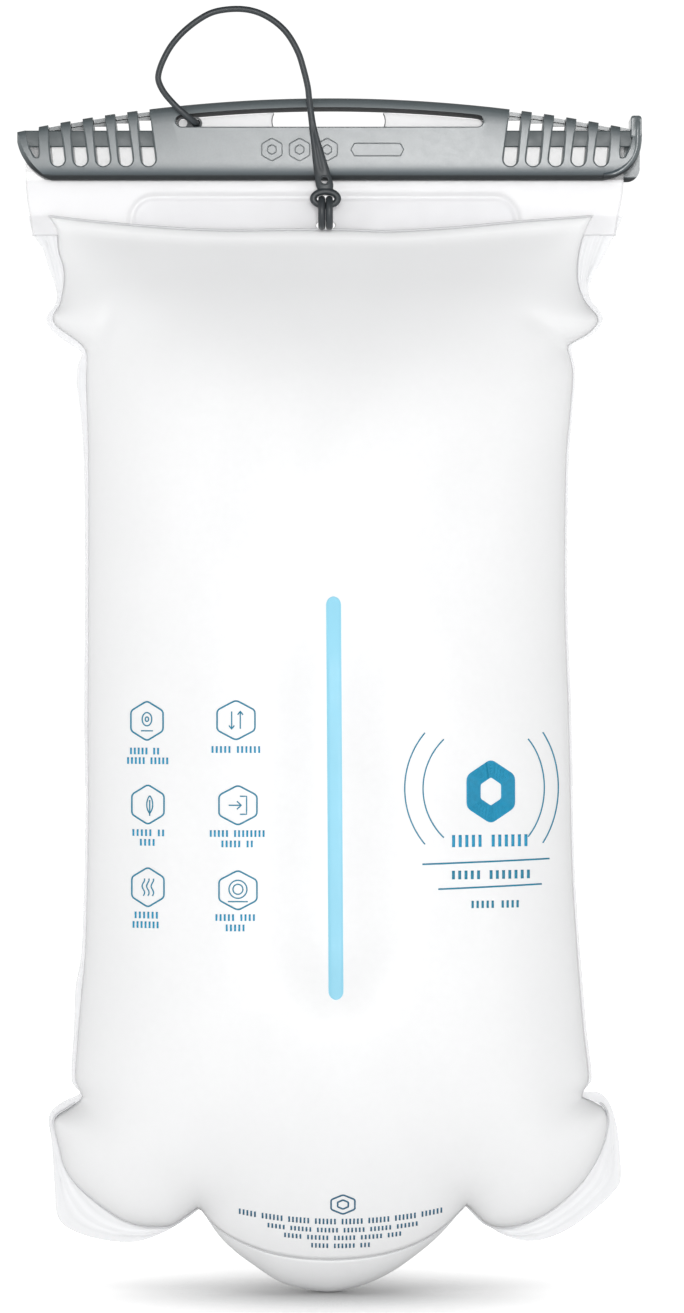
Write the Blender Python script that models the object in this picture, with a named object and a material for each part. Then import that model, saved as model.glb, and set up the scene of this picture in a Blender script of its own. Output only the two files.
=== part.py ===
"""Two-litre hydration bladder, full, hung by the handle of its slide clip.

Metres, +Z up, +X to the right, the front faces -Y.  The origin is under the arch of
the handle.  The clip stays still; the bladder slides out of its open left end.
"""
import math

import bmesh
import bpy
from mathutils import Vector

MM = 0.001

# ---- driving dimensions, millimetres ------------------------------------------------
GAP = 0.3                       # between solids that touch

CLIP_HALF = 95.0                # slide clip, half length
CLIP_BOTTOM = -21.9
CLIP_CROWN = 3.0                # top of the arch at the middle
CLIP_FALL = 0.00111             # the top line falls by this times x squared
CLIP_DEPTH = 6.5                # half the depth, front to back
CLIP_WALL = 1.6
CLIP_LIP = 1.8                  # height of the lips that pinch the film
LIP_GAP = 1.6                   # half the gap between the lips
ARCH_THICK = 3.0
RIB_THICK = 1.2
HANDLE_HALF = 46.8
HANDLE_FLOOR = -5.9

SLOT_COUNT = 5                  # vent slots at each end
SLOT_FIRST = 55.0               # middle of the first slot at its bottom
SLOT_PITCH = 6.9
SLOT_WIDTH = 4.1
SLOT_FLOOR = -17.9
SLOT_LEAN = 1.4                 # outward lean from bottom to top
REAR_RAIL = 3.4                 # the rail behind the slots starts at this depth

MOUTH_LEFT, MOUTH_RIGHT = -92.7, 89.7
RAIL_LEFT, RAIL_RIGHT = -92.5, 91.9
RAIL_BOTTOM, RAIL_TOP = -11.9, -6.9
RAIL_FRONT, RAIL_BACK = -4.6, -3.0
FILM = 0.7                      # film thickness of the solids
SKIRT_Y = 0.55                  # inner face of each skirt
SKIRT_BOTTOM = -38.2
FOLD_TOP = -7.3

BODY_TOP = SKIRT_BOTTOM - 0.4
BAG_WALL = 0.8
GUSSET_HALF = 38.5
GUSSET_DROP = 19.0
GUSSET_DEPTH = 17.0

BAFFLE_TOP, BAFFLE_BOTTOM = -149.0, -270.0
BAFFLE_WIDTH = 5.2
VALLEY_Y = 13.0                 # outer face of the film over the baffle

PORT_Z = -300.0                 # hose port, low on the back
PORT_PLANE = 26.4               # outer face of the film at the port
LATCH_RISE = 0.9                # the latch ring sits this far above the bore's axis
BUTTON_TRAVEL = 1.6
VALVE_TRAVEL = 3.0

CORD_D = 1.9                    # tether cord
LINK_Z = -4.65                  # middle of the tether's two-hole link
LINK_LEFT, LINK_RIGHT = -44.6, -40.6
LINK_HOLE = 1.35
STRAP_BACK, STRAP_FRONT = -6.9, -8.2
LOOP_X = -1.2
LOOP_UPPER, LOOP_LOWER = -27.9, -35.4
LOOP_HALF = 2.25                # half width of the tether loop's double strand


# ---- scene, materials and mesh helpers ----------------------------------------------
def clear_scene():
    for obj in list(bpy.data.objects):
        bpy.data.objects.remove(obj, do_unlink=True)


def material(name, color, roughness, metallic=0.0):
    mat = bpy.data.materials.new(name)
    mat.use_nodes = True
    shader = mat.node_tree.nodes["Principled BSDF"]
    shader.inputs["Base Color"].default_value = (*color, 1.0)
    shader.inputs["Roughness"].default_value = roughness
    shader.inputs["Metallic"].default_value = metallic
    return mat


def add_mesh(name, verts, faces, mat=None, smooth=None):
    """One object from millimetre vertices; smooth is the angle that stays sharp."""
    mesh = bpy.data.meshes.new(name)
    shape = bmesh.new()
    corners = [shape.verts.new(Vector(v) * MM) for v in verts]
    for face in faces:
        shape.faces.new([corners[i] for i in face])
    bmesh.ops.recalc_face_normals(shape, faces=shape.faces)
    shape.to_mesh(mesh)
    shape.free()
    if mat:
        mesh.materials.append(mat)
    if smooth:
        mesh.shade_smooth()
        mesh.set_sharp_from_angle(angle=math.radians(smooth))
    obj = bpy.data.objects.new(name, mesh)
    bpy.context.collection.objects.link(obj)
    return obj


def loft(name, rings, mat=None, closed=False, smooth=None):
    """A solid through rings of points of equal length."""
    count = len(rings[0])
    verts = [p for ring in rings for p in ring]
    spans = len(rings) if closed else len(rings) - 1
    faces = []
    for i in range(spans):
        a = i * count
        b = (i + 1) % len(rings) * count
        for j in range(count):
            k = (j + 1) % count
            faces.append((a + j, a + k, b + k, b + j))
    if not closed:
        faces.append(tuple(reversed(range(count))))
        faces.append(tuple(range(len(verts) - count, len(verts))))
    return add_mesh(name, verts, faces, mat, smooth)


def prism_y(name, outline, y0, y1, mat=None):
    """An outline of (x, z) between two depths."""
    near = [(x, y0, z) for x, z in outline]
    far = [(x, y1, z) for x, z in outline]
    return loft(name, [near, far], mat)


def prism_x(name, outline, x0, x1, mat=None):
    """An outline of (y, z) between two x."""
    return loft(name, [[(x, y, z) for y, z in outline] for x in (x0, x1)], mat)


def block(name, low, high, mat=None):
    outline = [(low[1], low[2]), (high[1], low[2]), (high[1], high[2]), (low[1], high[2])]
    return prism_x(name, outline, low[0], high[0], mat)


def lathe_y(name, profile, z, mat=None, steps=32, x=0.0):
    """A turned ring about the line along Y through (x, z), from a closed profile of
    (radius, y)."""
    rings = []
    for i in range(steps):
        angle = 2 * math.pi * i / steps
        rings.append([(x + r * math.cos(angle), y, z + r * math.sin(angle)) for r, y in profile])
    return loft(name, rings, mat, closed=True, smooth=35)


def torus_y(name, major, minor, y, z, mat, x=0.0, stretch=1.0, steps=28, sides=8):
    rings = []
    for i in range(steps):
        angle = 2 * math.pi * i / steps
        ring = []
        for j in range(sides):
            turn = -2 * math.pi * j / sides
            r = major + minor * math.cos(turn)
            ring.append((x + stretch * r * math.cos(angle), y + minor * math.sin(turn),
                         z + r * math.sin(angle)))
        rings.append(ring)
    return loft(name, rings, mat, closed=True, smooth=60)


def sheet(name, outer, inner, mat):
    """A thin closed solid between two grids of points, each a list of rows."""
    rows = len(outer)
    cols = len(outer[0])
    verts = [p for row in outer for p in row] + [p for row in inner for p in row]
    shift = rows * cols
    faces = []
    for i in range(rows - 1):
        for j in range(cols - 1):
            a = i * cols + j
            quad = (a, a + cols, a + cols + 1, a + 1)
            faces.append(quad)
            faces.append(tuple(v + shift for v in reversed(quad)))
    rim = [j for j in range(cols)]
    rim += [i * cols + cols - 1 for i in range(1, rows)]
    rim += [(rows - 1) * cols + j for j in range(cols - 2, -1, -1)]
    rim += [i * cols for i in range(rows - 2, 0, -1)]
    for i, a in enumerate(rim):
        b = rim[(i + 1) % len(rim)]
        faces.append((a, b, b + shift, a + shift))
    return add_mesh(name, verts, faces, mat, smooth=40)


def boolean(target, cutter, operation="DIFFERENCE"):
    cutter.hide_render = True
    cutter.display_type = "WIRE"
    mod = target.modifiers.new(cutter.name, "BOOLEAN")
    mod.operation = operation
    mod.solver = "EXACT"
    mod.object = cutter


def tube(name, points, diameter, mat, resolution=2):
    """A round cord along millimetre points, with filled ends."""
    curve = bpy.data.curves.new(name, "CURVE")
    curve.dimensions = "3D"
    curve.bevel_depth = diameter / 2 * MM
    curve.bevel_resolution = resolution
    curve.use_fill_caps = True
    spline = curve.splines.new("POLY")
    spline.points.add(len(points) - 1)
    for point, place in zip(spline.points, points):
        point.co = (*(Vector(place) * MM), 1.0)
    curve.materials.append(mat)
    obj = bpy.data.objects.new(name, curve)
    bpy.context.collection.objects.link(obj)
    return obj


def smooth_path(route, spacing):
    """Points every spacing along a centripetal curve through the route."""
    pts = [Vector(p) for p in route]
    pts = [2 * pts[0] - pts[1]] + pts + [2 * pts[-1] - pts[-2]]
    fine = []
    for p0, p1, p2, p3 in zip(pts, pts[1:], pts[2:], pts[3:]):
        for k in range(24):
            t = k / 24
            fine.append(0.5 * (2 * p1 + (p2 - p0) * t + (2 * p0 - 5 * p1 + 4 * p2 - p3) * t * t
                               + (3 * p1 - p0 - 3 * p2 + p3) * t ** 3))
    fine.append(pts[-2])
    lengths = [0.0]
    for a, b in zip(fine, fine[1:]):
        lengths.append(lengths[-1] + (b - a).length)
    count = max(2, round(lengths[-1] / spacing))
    path = []
    i = 0
    for k in range(count + 1):
        want = lengths[-1] * k / count
        while i < len(fine) - 2 and lengths[i + 1] < want:
            i += 1
        span = lengths[i + 1] - lengths[i]
        path.append(fine[i].lerp(fine[i + 1], (want - lengths[i]) / span))
    return path


def coil(name, start, axis, radius, length, turns, wire, mat):
    """A compression spring from start along the unit axis."""
    axis = Vector(axis)
    side = Vector((1, 0, 0))
    up = axis.cross(side)
    count = round(turns * 10)
    points = []
    for i in range(count + 1):
        angle = 2 * math.pi * turns * i / count
        offset = (side * math.cos(angle) + up * math.sin(angle)) * radius
        points.append(Vector(start) + axis * (wire / 2 + (length - wire) * i / count) + offset)
    return tube(name, points, wire, mat, resolution=0)


def smoothstep(value, low, high):
    t = min(1.0, max(0.0, (value - low) / (high - low)))
    return t * t * (3 - 2 * t)


def arc(cx, cz, rx, rz, start, end, steps):
    """Points on an ellipse in the XZ plane, angles in degrees."""
    angles = [math.radians(start + (end - start) * i / steps) for i in range(steps + 1)]
    return [(cx + rx * math.cos(a), cz + rz * math.sin(a)) for a in angles]


# ---- slide clip ---------------------------------------------------------------------
def clip_top(x):
    return CLIP_CROWN - CLIP_FALL * x * x


def clip_section(x):
    top = clip_top(x)
    blend = smoothstep(abs(x), HANDLE_HALF + 1.2, HANDLE_HALF + 4.2)
    ceiling = top - (ARCH_THICK + 0.2) * (1 - blend) - RIB_THICK * blend
    d = CLIP_DEPTH
    inner = d - CLIP_WALL
    bottom = CLIP_BOTTOM
    shelf = bottom + CLIP_LIP
    outside = [(LIP_GAP, bottom), (d - 1.6, bottom), (d - 0.5, bottom + 0.5), (d, bottom + 1.6),
               (d, top - 1.8), (d - 0.5, top - 0.6), (d - 1.7, top)]
    inside = [(inner, ceiling), (inner, shelf), (LIP_GAP, shelf)]
    outline = outside + [(-y, z) for y, z in reversed(outside)]
    outline += [(-y, z) for y, z in reversed(inside)] + inside
    return [(x, y, z) for y, z in outline]


def slot_outline(middle, side, top_z):
    """A slot leaning outward, round at its foot, up to top_z."""
    lean = SLOT_LEAN * (top_z - SLOT_FLOOR) / 14.0 * side
    r = SLOT_WIDTH / 2
    foot = arc(middle, SLOT_FLOOR + r, r, r, 0, -180, 8)
    return foot + [(middle + lean - r + 0.25, top_z), (middle + lean + r - 0.25, top_z)]


def clip_end_slot(side):
    """The last, three-cornered slot, following the round end of the plate."""
    pts = [(88.5, -4.0), (88.4, -14.6), (88.9, -15.2), (89.6, -14.9), (91.3, -12.0),
           (92.3, -9.0), (92.8, -4.0)]
    return [(side * x, z) for x, z in pts]


def make_slide_clip(mat):
    stations = [-CLIP_HALF, -88.0, -80.0, -72.0, -64.0, -56.0]
    stations += [-51.0, -49.5, -48.0, -40.0, -30.0, -20.0, -10.0]
    stations += [0.0] + [-x for x in reversed(stations)]
    clip = loft("slide_clip", [clip_section(x) for x in stations], mat)

    r = 1.8
    edge = [(x, clip_top(x) - ARCH_THICK) for x in range(-44, 45, 8)]
    handle = [(HANDLE_HALF - r, HANDLE_FLOOR), (-HANDLE_HALF + r, HANDLE_FLOOR)]
    handle += arc(-HANDLE_HALF + r, HANDLE_FLOOR + r, r, r, 240, 120, 4)
    handle += edge
    handle += arc(HANDLE_HALF - r, HANDLE_FLOOR + r, r, r, 60, -60, 4)
    boolean(clip, prism_y("cut_handle", handle, -9, 9))

    for side in (-1, 1):
        tag = "left" if side < 0 else "right"
        for i in range(SLOT_COUNT):
            middle = side * (SLOT_FIRST + SLOT_PITCH * i)
            front = slot_outline(middle, side, 5.0)
            boolean(clip, prism_y(f"cut_slot_{tag}_{i}", front, -9, REAR_RAIL))
            window = slot_outline(middle, side, clip_top(middle) - 2.4)
            boolean(clip, prism_y(f"cut_window_{tag}_{i}", window, REAR_RAIL - 0.2, 9))
        boolean(clip, prism_y(f"cut_end_slot_{tag}", clip_end_slot(side), -9, -3))

    # the left end is open: no roof past the last rib, and a large round lower corner
    boolean(clip, block("cut_roof", (-97, -CLIP_DEPTH + CLIP_WALL - 0.1, -8.6),
                        (-88.6, CLIP_DEPTH - CLIP_WALL + 0.1, 6)))
    corner = [(-80.5, -24), (-97, -24), (-97, -7)] + arc(-81, -7.5, 14.3, 14.9, 178, 272, 10)
    boolean(clip, prism_y("cut_corner_left", corner, -9, 9))

    # the right end: a raised stop closes the channel
    stop = arc(83.0, -9.9, 12.0, 12.0, -88, 0, 10) + [(95.0, -3.2), (94.2, -2.4), (93.2, -2.4)]
    stop += [(92.4, -3.2)] + arc(83.0, -9.9, 9.4, 9.8, 0, -88, 10)
    corner = [(97, -24), (80.5, -24)] + arc(82.0, -8.9, 13.05, 13.05, -92, 0, 10) + [(97, -8.9)]
    boolean(clip, prism_y("cut_corner_right", corner, -9, 3.0))
    boolean(clip, prism_y("add_stop_rim", stop, -CLIP_DEPTH, -CLIP_DEPTH + CLIP_WALL), "UNION")
    cap = [(92.4, -9.5), (94.95, -9.5), (94.95, -3.2), (94.2, -2.45), (93.2, -2.45), (92.4, -3.2)]
    boolean(clip, prism_y("add_stop_cap", cap, -CLIP_DEPTH + 0.2, CLIP_DEPTH - 0.4), "UNION")
    return clip


# ---- mouth of the bladder -------------------------------------------------------------
def loop_holes(name, target):
    """Two holes that the tether loop passes through, one above the other."""
    for i, z in enumerate((LOOP_UPPER, LOOP_LOWER)):
        outline = arc(LOOP_X + 1.2, z, 1.9, 1.7, 90, -90, 6) + arc(LOOP_X - 1.2, z, 1.9, 1.7, 270, 90, 6)
        boolean(target, prism_y(f"cut_{name}_{i}", outline, -3.5, 3.5))


def make_mouth(film, rail_mat, stiff):
    c = 0.4
    outline = [(RAIL_FRONT + c, RAIL_BOTTOM), (RAIL_BACK - c, RAIL_BOTTOM), (RAIL_BACK, RAIL_BOTTOM + c),
               (RAIL_BACK, RAIL_TOP - c), (RAIL_BACK - c, RAIL_TOP), (RAIL_FRONT + c, RAIL_TOP),
               (RAIL_FRONT, RAIL_TOP - c), (RAIL_FRONT, RAIL_BOTTOM + c)]
    prism_x("mouth_rail", outline, RAIL_LEFT, RAIL_RIGHT, rail_mat)

    a = SKIRT_Y
    b = a + FILM
    folded = [(-a, SKIRT_BOTTOM), (-a, FOLD_TOP), (-b - 1.4, FOLD_TOP), (-b - 1.4, -19.3),
              (-b - 0.7, -19.3), (-b - 0.7, FOLD_TOP - FILM), (-b, FOLD_TOP - FILM), (-b, SKIRT_BOTTOM)]
    front = prism_x("front_skirt", folded, MOUTH_LEFT, MOUTH_RIGHT, film)
    loop_holes("front_skirt", front)
    straight = [(a, SKIRT_BOTTOM), (b, SKIRT_BOTTOM), (b, FOLD_TOP), (a, FOLD_TOP)]
    back = prism_x("back_skirt", straight, MOUTH_LEFT, MOUTH_RIGHT, film)
    loop_holes("back_skirt", back)

    r = 6.0
    left, right, top, foot = -60.5, 58.0, -26.7, -38.0
    plate = [(left, foot)] + arc(left + r, top - r, r, r, 180, 90, 5)
    plate += arc(right - r, top - r, r, r, 90, 0, 5) + [(right, foot)]
    stiffener = prism_y("skirt_stiffener", plate, -0.25, 0.25, stiff)
    loop_holes("skirt_stiffener", stiffener)

    # hang tab: two ears and the round notch between them, seen in the handle
    half = 48.0
    r = 4.65
    outline = [(-half, -19.0)] + [(x, clip_top(x) - ARCH_THICK - 0.7) for x in (-48, -40, -30, -22)]
    outline += arc(-13.0, -3.4, r, r, 145, 270, 6) + arc(12.4, -3.4, r, r, -90, 35, 6)
    outline += [(x, clip_top(x) - ARCH_THICK - 0.7) for x in (22, 30, 40, 48)] + [(half, -19.0)]
    prism_y("hang_tab", outline, b + GAP, b + GAP + 0.6, film)


# ---- bag --------------------------------------------------------------------------------
# half outline of the welded film: height, left edge, right edge
OUTLINE = [(-38.0, -91.0, 88.0), (-47.0, -86.0, 82.5), (-56.0, -83.5, 79.5), (-64.0, -84.5, 81.0),
           (-72.0, -79.0, 75.0), (-90.0, -76.0, 73.6), (-115.0, -74.5, 72.3), (-200.0, -74.4, 73.0),
           (-250.0, -75.0, 75.5), (-290.0, -78.3, 78.6), (-303.0, -81.5, 84.5), (-312.0, -84.6, 88.0),
           (-328.0, -84.0, 87.5), (-345.0, -80.0, 80.0)]
# fullness of the bag: height, half depth in the middle
FULLNESS = [(-38.0, 1.4), (-48.0, 5.5), (-62.0, 11.0), (-85.0, 18.5), (-115.0, 25.0), (-160.0, 29.0),
            (-230.0, 30.5), (-285.0, 29.5), (-310.0, 26.5), (-330.0, 21.5), (-345.0, GUSSET_DEPTH)]
FLANGE = 5.5


def table_value(table, z, column):
    for upper, lower in zip(table, table[1:]):
        if z >= lower[0]:
            t = min(1.0, max(0.0, (upper[0] - z) / (upper[0] - lower[0])))
            return upper[column] + (lower[column] - upper[column]) * t
    return table[-1][column]


def bottom_edge(x):
    """Lower weld of the front and back panels: two corner lobes and a middle one."""
    ax = abs(x)
    corner = -344.0 + 26.0 * smoothstep(ax, 68.0, 88.0)
    middle = -341.5 + 7.5 * (ax / 40.0) ** 2
    if ax < 40.0:
        return middle
    return -334.0 + (corner + 334.0) * smoothstep(ax, 40.0, 54.0)


def bag_depth(x, z):
    """Outer half depth of the bag."""
    left = table_value(OUTLINE, z, 1) + FLANGE
    right = table_value(OUTLINE, z, 2) - FLANGE
    middle = (left + right) / 2
    u = min(1.0, abs(x - middle) / ((right - left) / 2))
    full = table_value(FULLNESS, z, 1)
    depth = full * (1 - u ** 2.6) ** 0.75
    low = smoothstep(-z, 300.0, 338.0)
    depth *= 1 - low * smoothstep(abs(x), 26.0, 52.0)
    if z < -325.0:
        round_end = math.sqrt(max(0.0, 1 - (x / 42.0) ** 2))
        blend = smoothstep(-z, 325.0, 340.0)
        depth = depth * (1 - blend) + GUSSET_DEPTH * round_end * blend
    along = smoothstep(-z, 120.0, 165.0) * (1 - smoothstep(-z, 258.0, 300.0))
    valley = math.exp(-(x / 17.0) ** 2) * along
    depth = depth * (1 - valley) + VALLEY_Y * valley
    return max(1.4, depth)


def back_depth(x, z):
    """The back is the same, with a flat round place for the port."""
    depth = bag_depth(x, z)
    flat = 1 - smoothstep(math.hypot(x, z - PORT_Z), 19.0, 34.0)
    return depth * (1 - flat) + PORT_PLANE * flat


def panel(name, side, depth_at, mat):
    cols, rows = 18, 26
    outer = []
    inner = []
    for i in range(rows + 1):
        v = i / rows
        outer_row = []
        inner_row = []
        for j in range(cols + 1):
            u = 0.5 - 0.5 * math.cos(math.pi * j / cols)
            u = 0.45 * u + 0.55 * j / cols
            foot = table_value(OUTLINE, -340.0, 1) * (1 - u) + table_value(OUTLINE, -340.0, 2) * u
            z = BODY_TOP + (bottom_edge(foot) - BODY_TOP) * v
            x = table_value(OUTLINE, z, 1) * (1 - u) + table_value(OUTLINE, z, 2) * u
            depth = depth_at(x, z)
            outer_row.append((x, side * depth, z))
            inner_row.append((x, side * (depth - BAG_WALL), z))
        outer.append(outer_row)
        inner.append(inner_row)
    if side > 0:
        outer, inner = inner, outer
    return sheet(name, outer, inner, mat)


def make_bag(film):
    panel("front_panel", -1, bag_depth, film)
    back = panel("back_panel", 1, back_depth, film)
    disc = arc(0.0, PORT_Z, 8.9, 8.9, 0, 360, 24)[:-1]
    boolean(back, prism_y("cut_port", disc, 20.0, 30.0))

    cols, rows = 12, 10
    outer = []
    inner = []
    for i in range(rows + 1):
        angle = math.pi * (0.04 + 0.92 * i / rows)
        outer_row = []
        inner_row = []
        for j in range(cols + 1):
            x = GUSSET_HALF * math.sin(math.pi * (j / cols - 0.5))
            span = math.sqrt(1 - (x / 42.0) ** 2)
            top = bottom_edge(x) - 1.2
            for row, thick in ((outer_row, 0.0), (inner_row, BAG_WALL)):
                y = -(GUSSET_DEPTH * span - thick) * math.cos(angle)
                z = top - (GUSSET_DROP * span ** 2 - thick) * math.sin(angle)
                row.append((x, y, z))
        outer.append(outer_row)
        inner.append(inner_row)
    sheet("gusset_panel", outer, inner, film)


# ---- baffle -------------------------------------------------------------------------------
def make_baffle(blue):
    """Two press-together rails, welded to the films, that hold the middle of the bag."""
    r = BAFFLE_WIDTH / 2
    base = VALLEY_Y - BAG_WALL - 0.4
    w = r
    front = [(-w, -base), (w, -base), (w, -base + 1.0), (0.9, -base + 1.4), (0.9, -2.2), (1.9, -1.6),
             (1.9, 1.0), (1.1, 1.0), (1.1, -0.9), (-1.1, -0.9), (-1.1, 1.0), (-1.9, 1.0),
             (-1.9, -1.6), (-0.9, -2.2), (-0.9, -base + 1.4), (-w, -base + 1.0)]
    back = [(-w, base), (-w, base - 1.0), (-0.7, base - 1.4), (-0.7, -0.5), (0.7, -0.5),
            (0.7, base - 1.4), (w, base - 1.0), (w, base)]
    for name, outline, ends in (("baffle_rail_front", front, 0.0), ("baffle_rail_back", back, 3.0)):
        top = [(x, y, BAFFLE_TOP - ends) for x, y in outline]
        bottom = [(x, y, BAFFLE_BOTTOM + ends) for x, y in outline]
        loft(name, [bottom, top], blue)


# ---- hose port --------------------------------------------------------------------------------
def make_port(shell, dark, rubber, steel, white):
    z = PORT_Z
    film_in = PORT_PLANE - BAG_WALL
    flange_top = film_in - GAP - 0.1
    lathe_y("port_flange", [(8.6, flange_top - 1.4), (8.6, flange_top), (17.0, flange_top),
                            (17.0, flange_top - 0.9), (12.0, flange_top - 1.4)], z, white)

    face = PORT_PLANE + 0.4
    profile = [(8.2, 12.4), (6.6, 12.4), (6.6, 21.6), (5.9, 22.3), (4.3, 22.3), (4.3, 23.8), (6.2, 24.4),
               (6.2, 29.0), (7.4, 29.0), (7.4, 31.2), (6.2, 31.2), (6.2, 40.6), (6.9, 41.4),
               (9.9, 41.4), (10.6, 40.6), (10.6, face + 2.6), (12.5, face + 2.0), (12.5, face), (8.2, face)]
    housing = lathe_y("port_housing", profile, z, shell)
    boolean(housing, block("add_guide", (-5.8, 33.8, z + 8.2), (5.8, 40.8, z + 14.6)), "UNION")
    boolean(housing, block("add_spring_box", (-3.4, 34.2, z - 13.6), (3.4, 40.4, z - 8.2)), "UNION")
    boolean(housing, block("cut_guide", (-4.7, 34.9, z + 10.9), (4.7, 39.7, z + 16.0)))
    boolean(housing, block("cut_stem", (-3.3, 36.3, z + 5.0), (3.3, 38.3, z + 11.2)))
    groove = arc(0.0, z + LATCH_RISE, 8.7, 8.7, 0, 180, 12)
    groove += arc(0.0, z + LATCH_RISE - BUTTON_TRAVEL, 8.7, 8.7, 180, 360, 12)
    boolean(housing, prism_y("cut_groove", groove, 36.3, 38.3))
    boolean(housing, block("cut_spring", (-2.2, 35.1, z - 12.8), (2.2, 39.5, z - 5.0)))

    # a ring round the bore; its lower edge catches the hose plug's groove
    stem = math.degrees(math.acos(2.9 / 8.2))
    plate = [(2.9, z + 12.3)] + arc(0.0, z + LATCH_RISE, 8.2, 8.2, stem, stem - 360 + 2 * (90 - stem), 32)
    plate += [(-2.9, z + 12.3)]
    latch = prism_y("latch_ring", plate, 36.6, 38.0, steel)
    ring = arc(0.0, z + LATCH_RISE, 6.7, 6.7, 0, 360, 32)[:-1]
    boolean(latch, prism_y("cut_latch", ring, 35.0, 40.0))

    button = [(-4.4, z + 12.6), (-4.4, z + 16.0), (-3.6, z + 17.0), (3.6, z + 17.0), (4.4, z + 16.0),
              (4.4, z + 12.6)]
    prism_y("release_button", button, 35.2, 39.4, dark)
    coil("button_spring", (0, 37.3, z - 12.6), (0, 0, 1), 1.5, 5.0, 4, 0.4, steel)

    lathe_y("valve_cage", [(2.1, 12.8), (2.1, 14.2), (6.3, 14.2), (6.3, 12.8)], z, shell)
    poppet = [(0.5, 14.6), (1.6, 14.6), (1.6, 19.8), (5.6, 19.8), (5.6, 21.2), (3.2, 21.2),
              (3.2, 25.4), (0.5, 25.4)]
    lathe_y("valve_poppet", poppet, z, dark)
    torus_y("poppet_seal", 5.0, 0.35, 21.8, z, rubber)
    torus_y("plug_seal", 6.65, 0.5, 30.1, z, rubber)
    coil("valve_spring", (0, 14.5, z), (0, 1, 0), 3.2, 5.0, 4, 0.6, steel)


# ---- tether -----------------------------------------------------------------------------------
CORD_ROUTE = [(-40.6, -3.2, LINK_Z), (-40.7, -5.2, LINK_Z), (-41.6, -7.3, -4.2), (-43.6, -8.3, -2.6),
              (-46.9, -8.5, 0.4), (-50.1, -8.4, 4.1), (-51.8, -8.2, 7.4), (-51.9, -8.1, 10.0),
              (-50.6, -8.0, 13.9), (-48.0, -7.9, 18.6), (-44.1, -7.8, 23.0), (-39.0, -7.8, 26.9),
              (-34.3, -7.8, 29.0), (-27.8, -7.8, 29.7), (-22.2, -7.8, 28.8), (-17.1, -7.8, 26.2),
              (-12.9, -7.8, 22.3), (-9.6, -7.7, 16.7), (-7.8, -7.6, 11.1), (-6.6, -7.6, 6.0),
              (-6.25, -7.55, 3.0)]
# the strap below the cord: height, middle, half width
STRAP = [(2.7, -6.2, 0.95), (-6.1, -5.1, 0.95), (-14.9, -3.3, 1.9), (-21.0, -2.0, 2.5),
         (-23.7, -1.5, 2.7), (-24.5, -1.4, 2.3)]
# the loop's middle line: depth, height
LOOP_ROUTE = [(0.0, LOOP_UPPER), (-3.4, LOOP_UPPER), (-6.6, LOOP_UPPER), (-9.2, -28.6), (-10.4, -30.6),
              (-10.4, -33.0), (-9.0, -35.3), (-6.4, -36.3), (-3.2, -36.0), (0.0, LOOP_LOWER),
              (2.6, -34.6), (3.6, -32.8), (3.6, -30.4), (2.5, -28.5)]


def make_tether(rubber):
    outline = arc(LINK_LEFT, LINK_Z, 1.85, 1.85, 90, 270, 8)
    outline += arc(LINK_RIGHT, LINK_Z, 1.85, 1.85, -90, 90, 8)
    link = prism_y("tether_link", outline, -4.6, -3.5, rubber)
    for i, x in enumerate((LINK_LEFT, LINK_RIGHT)):
        hole = arc(x, LINK_Z, LINK_HOLE, LINK_HOLE, 0, 360, 16)[:-1]
        boolean(link, prism_y(f"cut_link_{i}", hole, -6.0, -2.0))

    bead = []
    for i in range(9):
        angle = math.pi * (0.04 + 0.92 * i / 8)
        r = 1.45 * math.sin(angle)
        bead.append([(LINK_RIGHT + r * math.cos(a), -1.4 - 1.45 * math.cos(angle), LINK_Z + r * math.sin(a))
                     for a in (math.pi * k / 6 for k in range(12))])
    loft("tether_bead", bead, rubber, smooth=60)

    tube("tether_cord", smooth_path(CORD_ROUTE, 2.0), CORD_D, rubber)

    rows = []
    for z, middle, half in STRAP:
        rows.append([(middle - half, STRAP_BACK, z), (middle + half, STRAP_BACK, z),
                     (middle + half, STRAP_FRONT + 0.3, z), (middle + half * 0.6, STRAP_FRONT, z),
                     (middle - half * 0.6, STRAP_FRONT, z), (middle - half, STRAP_FRONT + 0.3, z)])
    strap = loft("tether_strap", rows, rubber)
    eyelet = arc(-1.5, -22.4, 1.0, 1.0, 0, 360, 12)[:-1]
    boolean(strap, prism_y("cut_eyelet", eyelet, -9.0, -6.0))

    torus_y("tether_ring", 2.35, 0.75, -7.6, LOOP_UPPER, rubber, x=LOOP_X, stretch=1.5)

    points = [Vector((0, y, z)) for y, z in LOOP_ROUTE]
    section = [(-1.0, 1.0), (-0.25, 0.75), (0.25, 0.75), (1.0, 1.0), (1.9, 0.75), (LOOP_HALF, 0.0)]
    section += [(1.9, -0.75), (1.0, -1.0), (0.25, -0.75), (-0.25, -0.75), (-1.0, -1.0), (-1.9, -0.75)]
    section += [(-LOOP_HALF, 0.0), (-1.9, 0.75)]
    rings = []
    for i, here in enumerate(points):
        along = (points[(i + 1) % len(points)] - points[i - 1]).normalized()
        out = Vector((1, 0, 0)).cross(along)
        rings.append([here + Vector((LOOP_X + a, 0, 0)) + out * b for a, b in section])
    loft("tether_loop", rings, rubber, closed=True, smooth=60)


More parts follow.
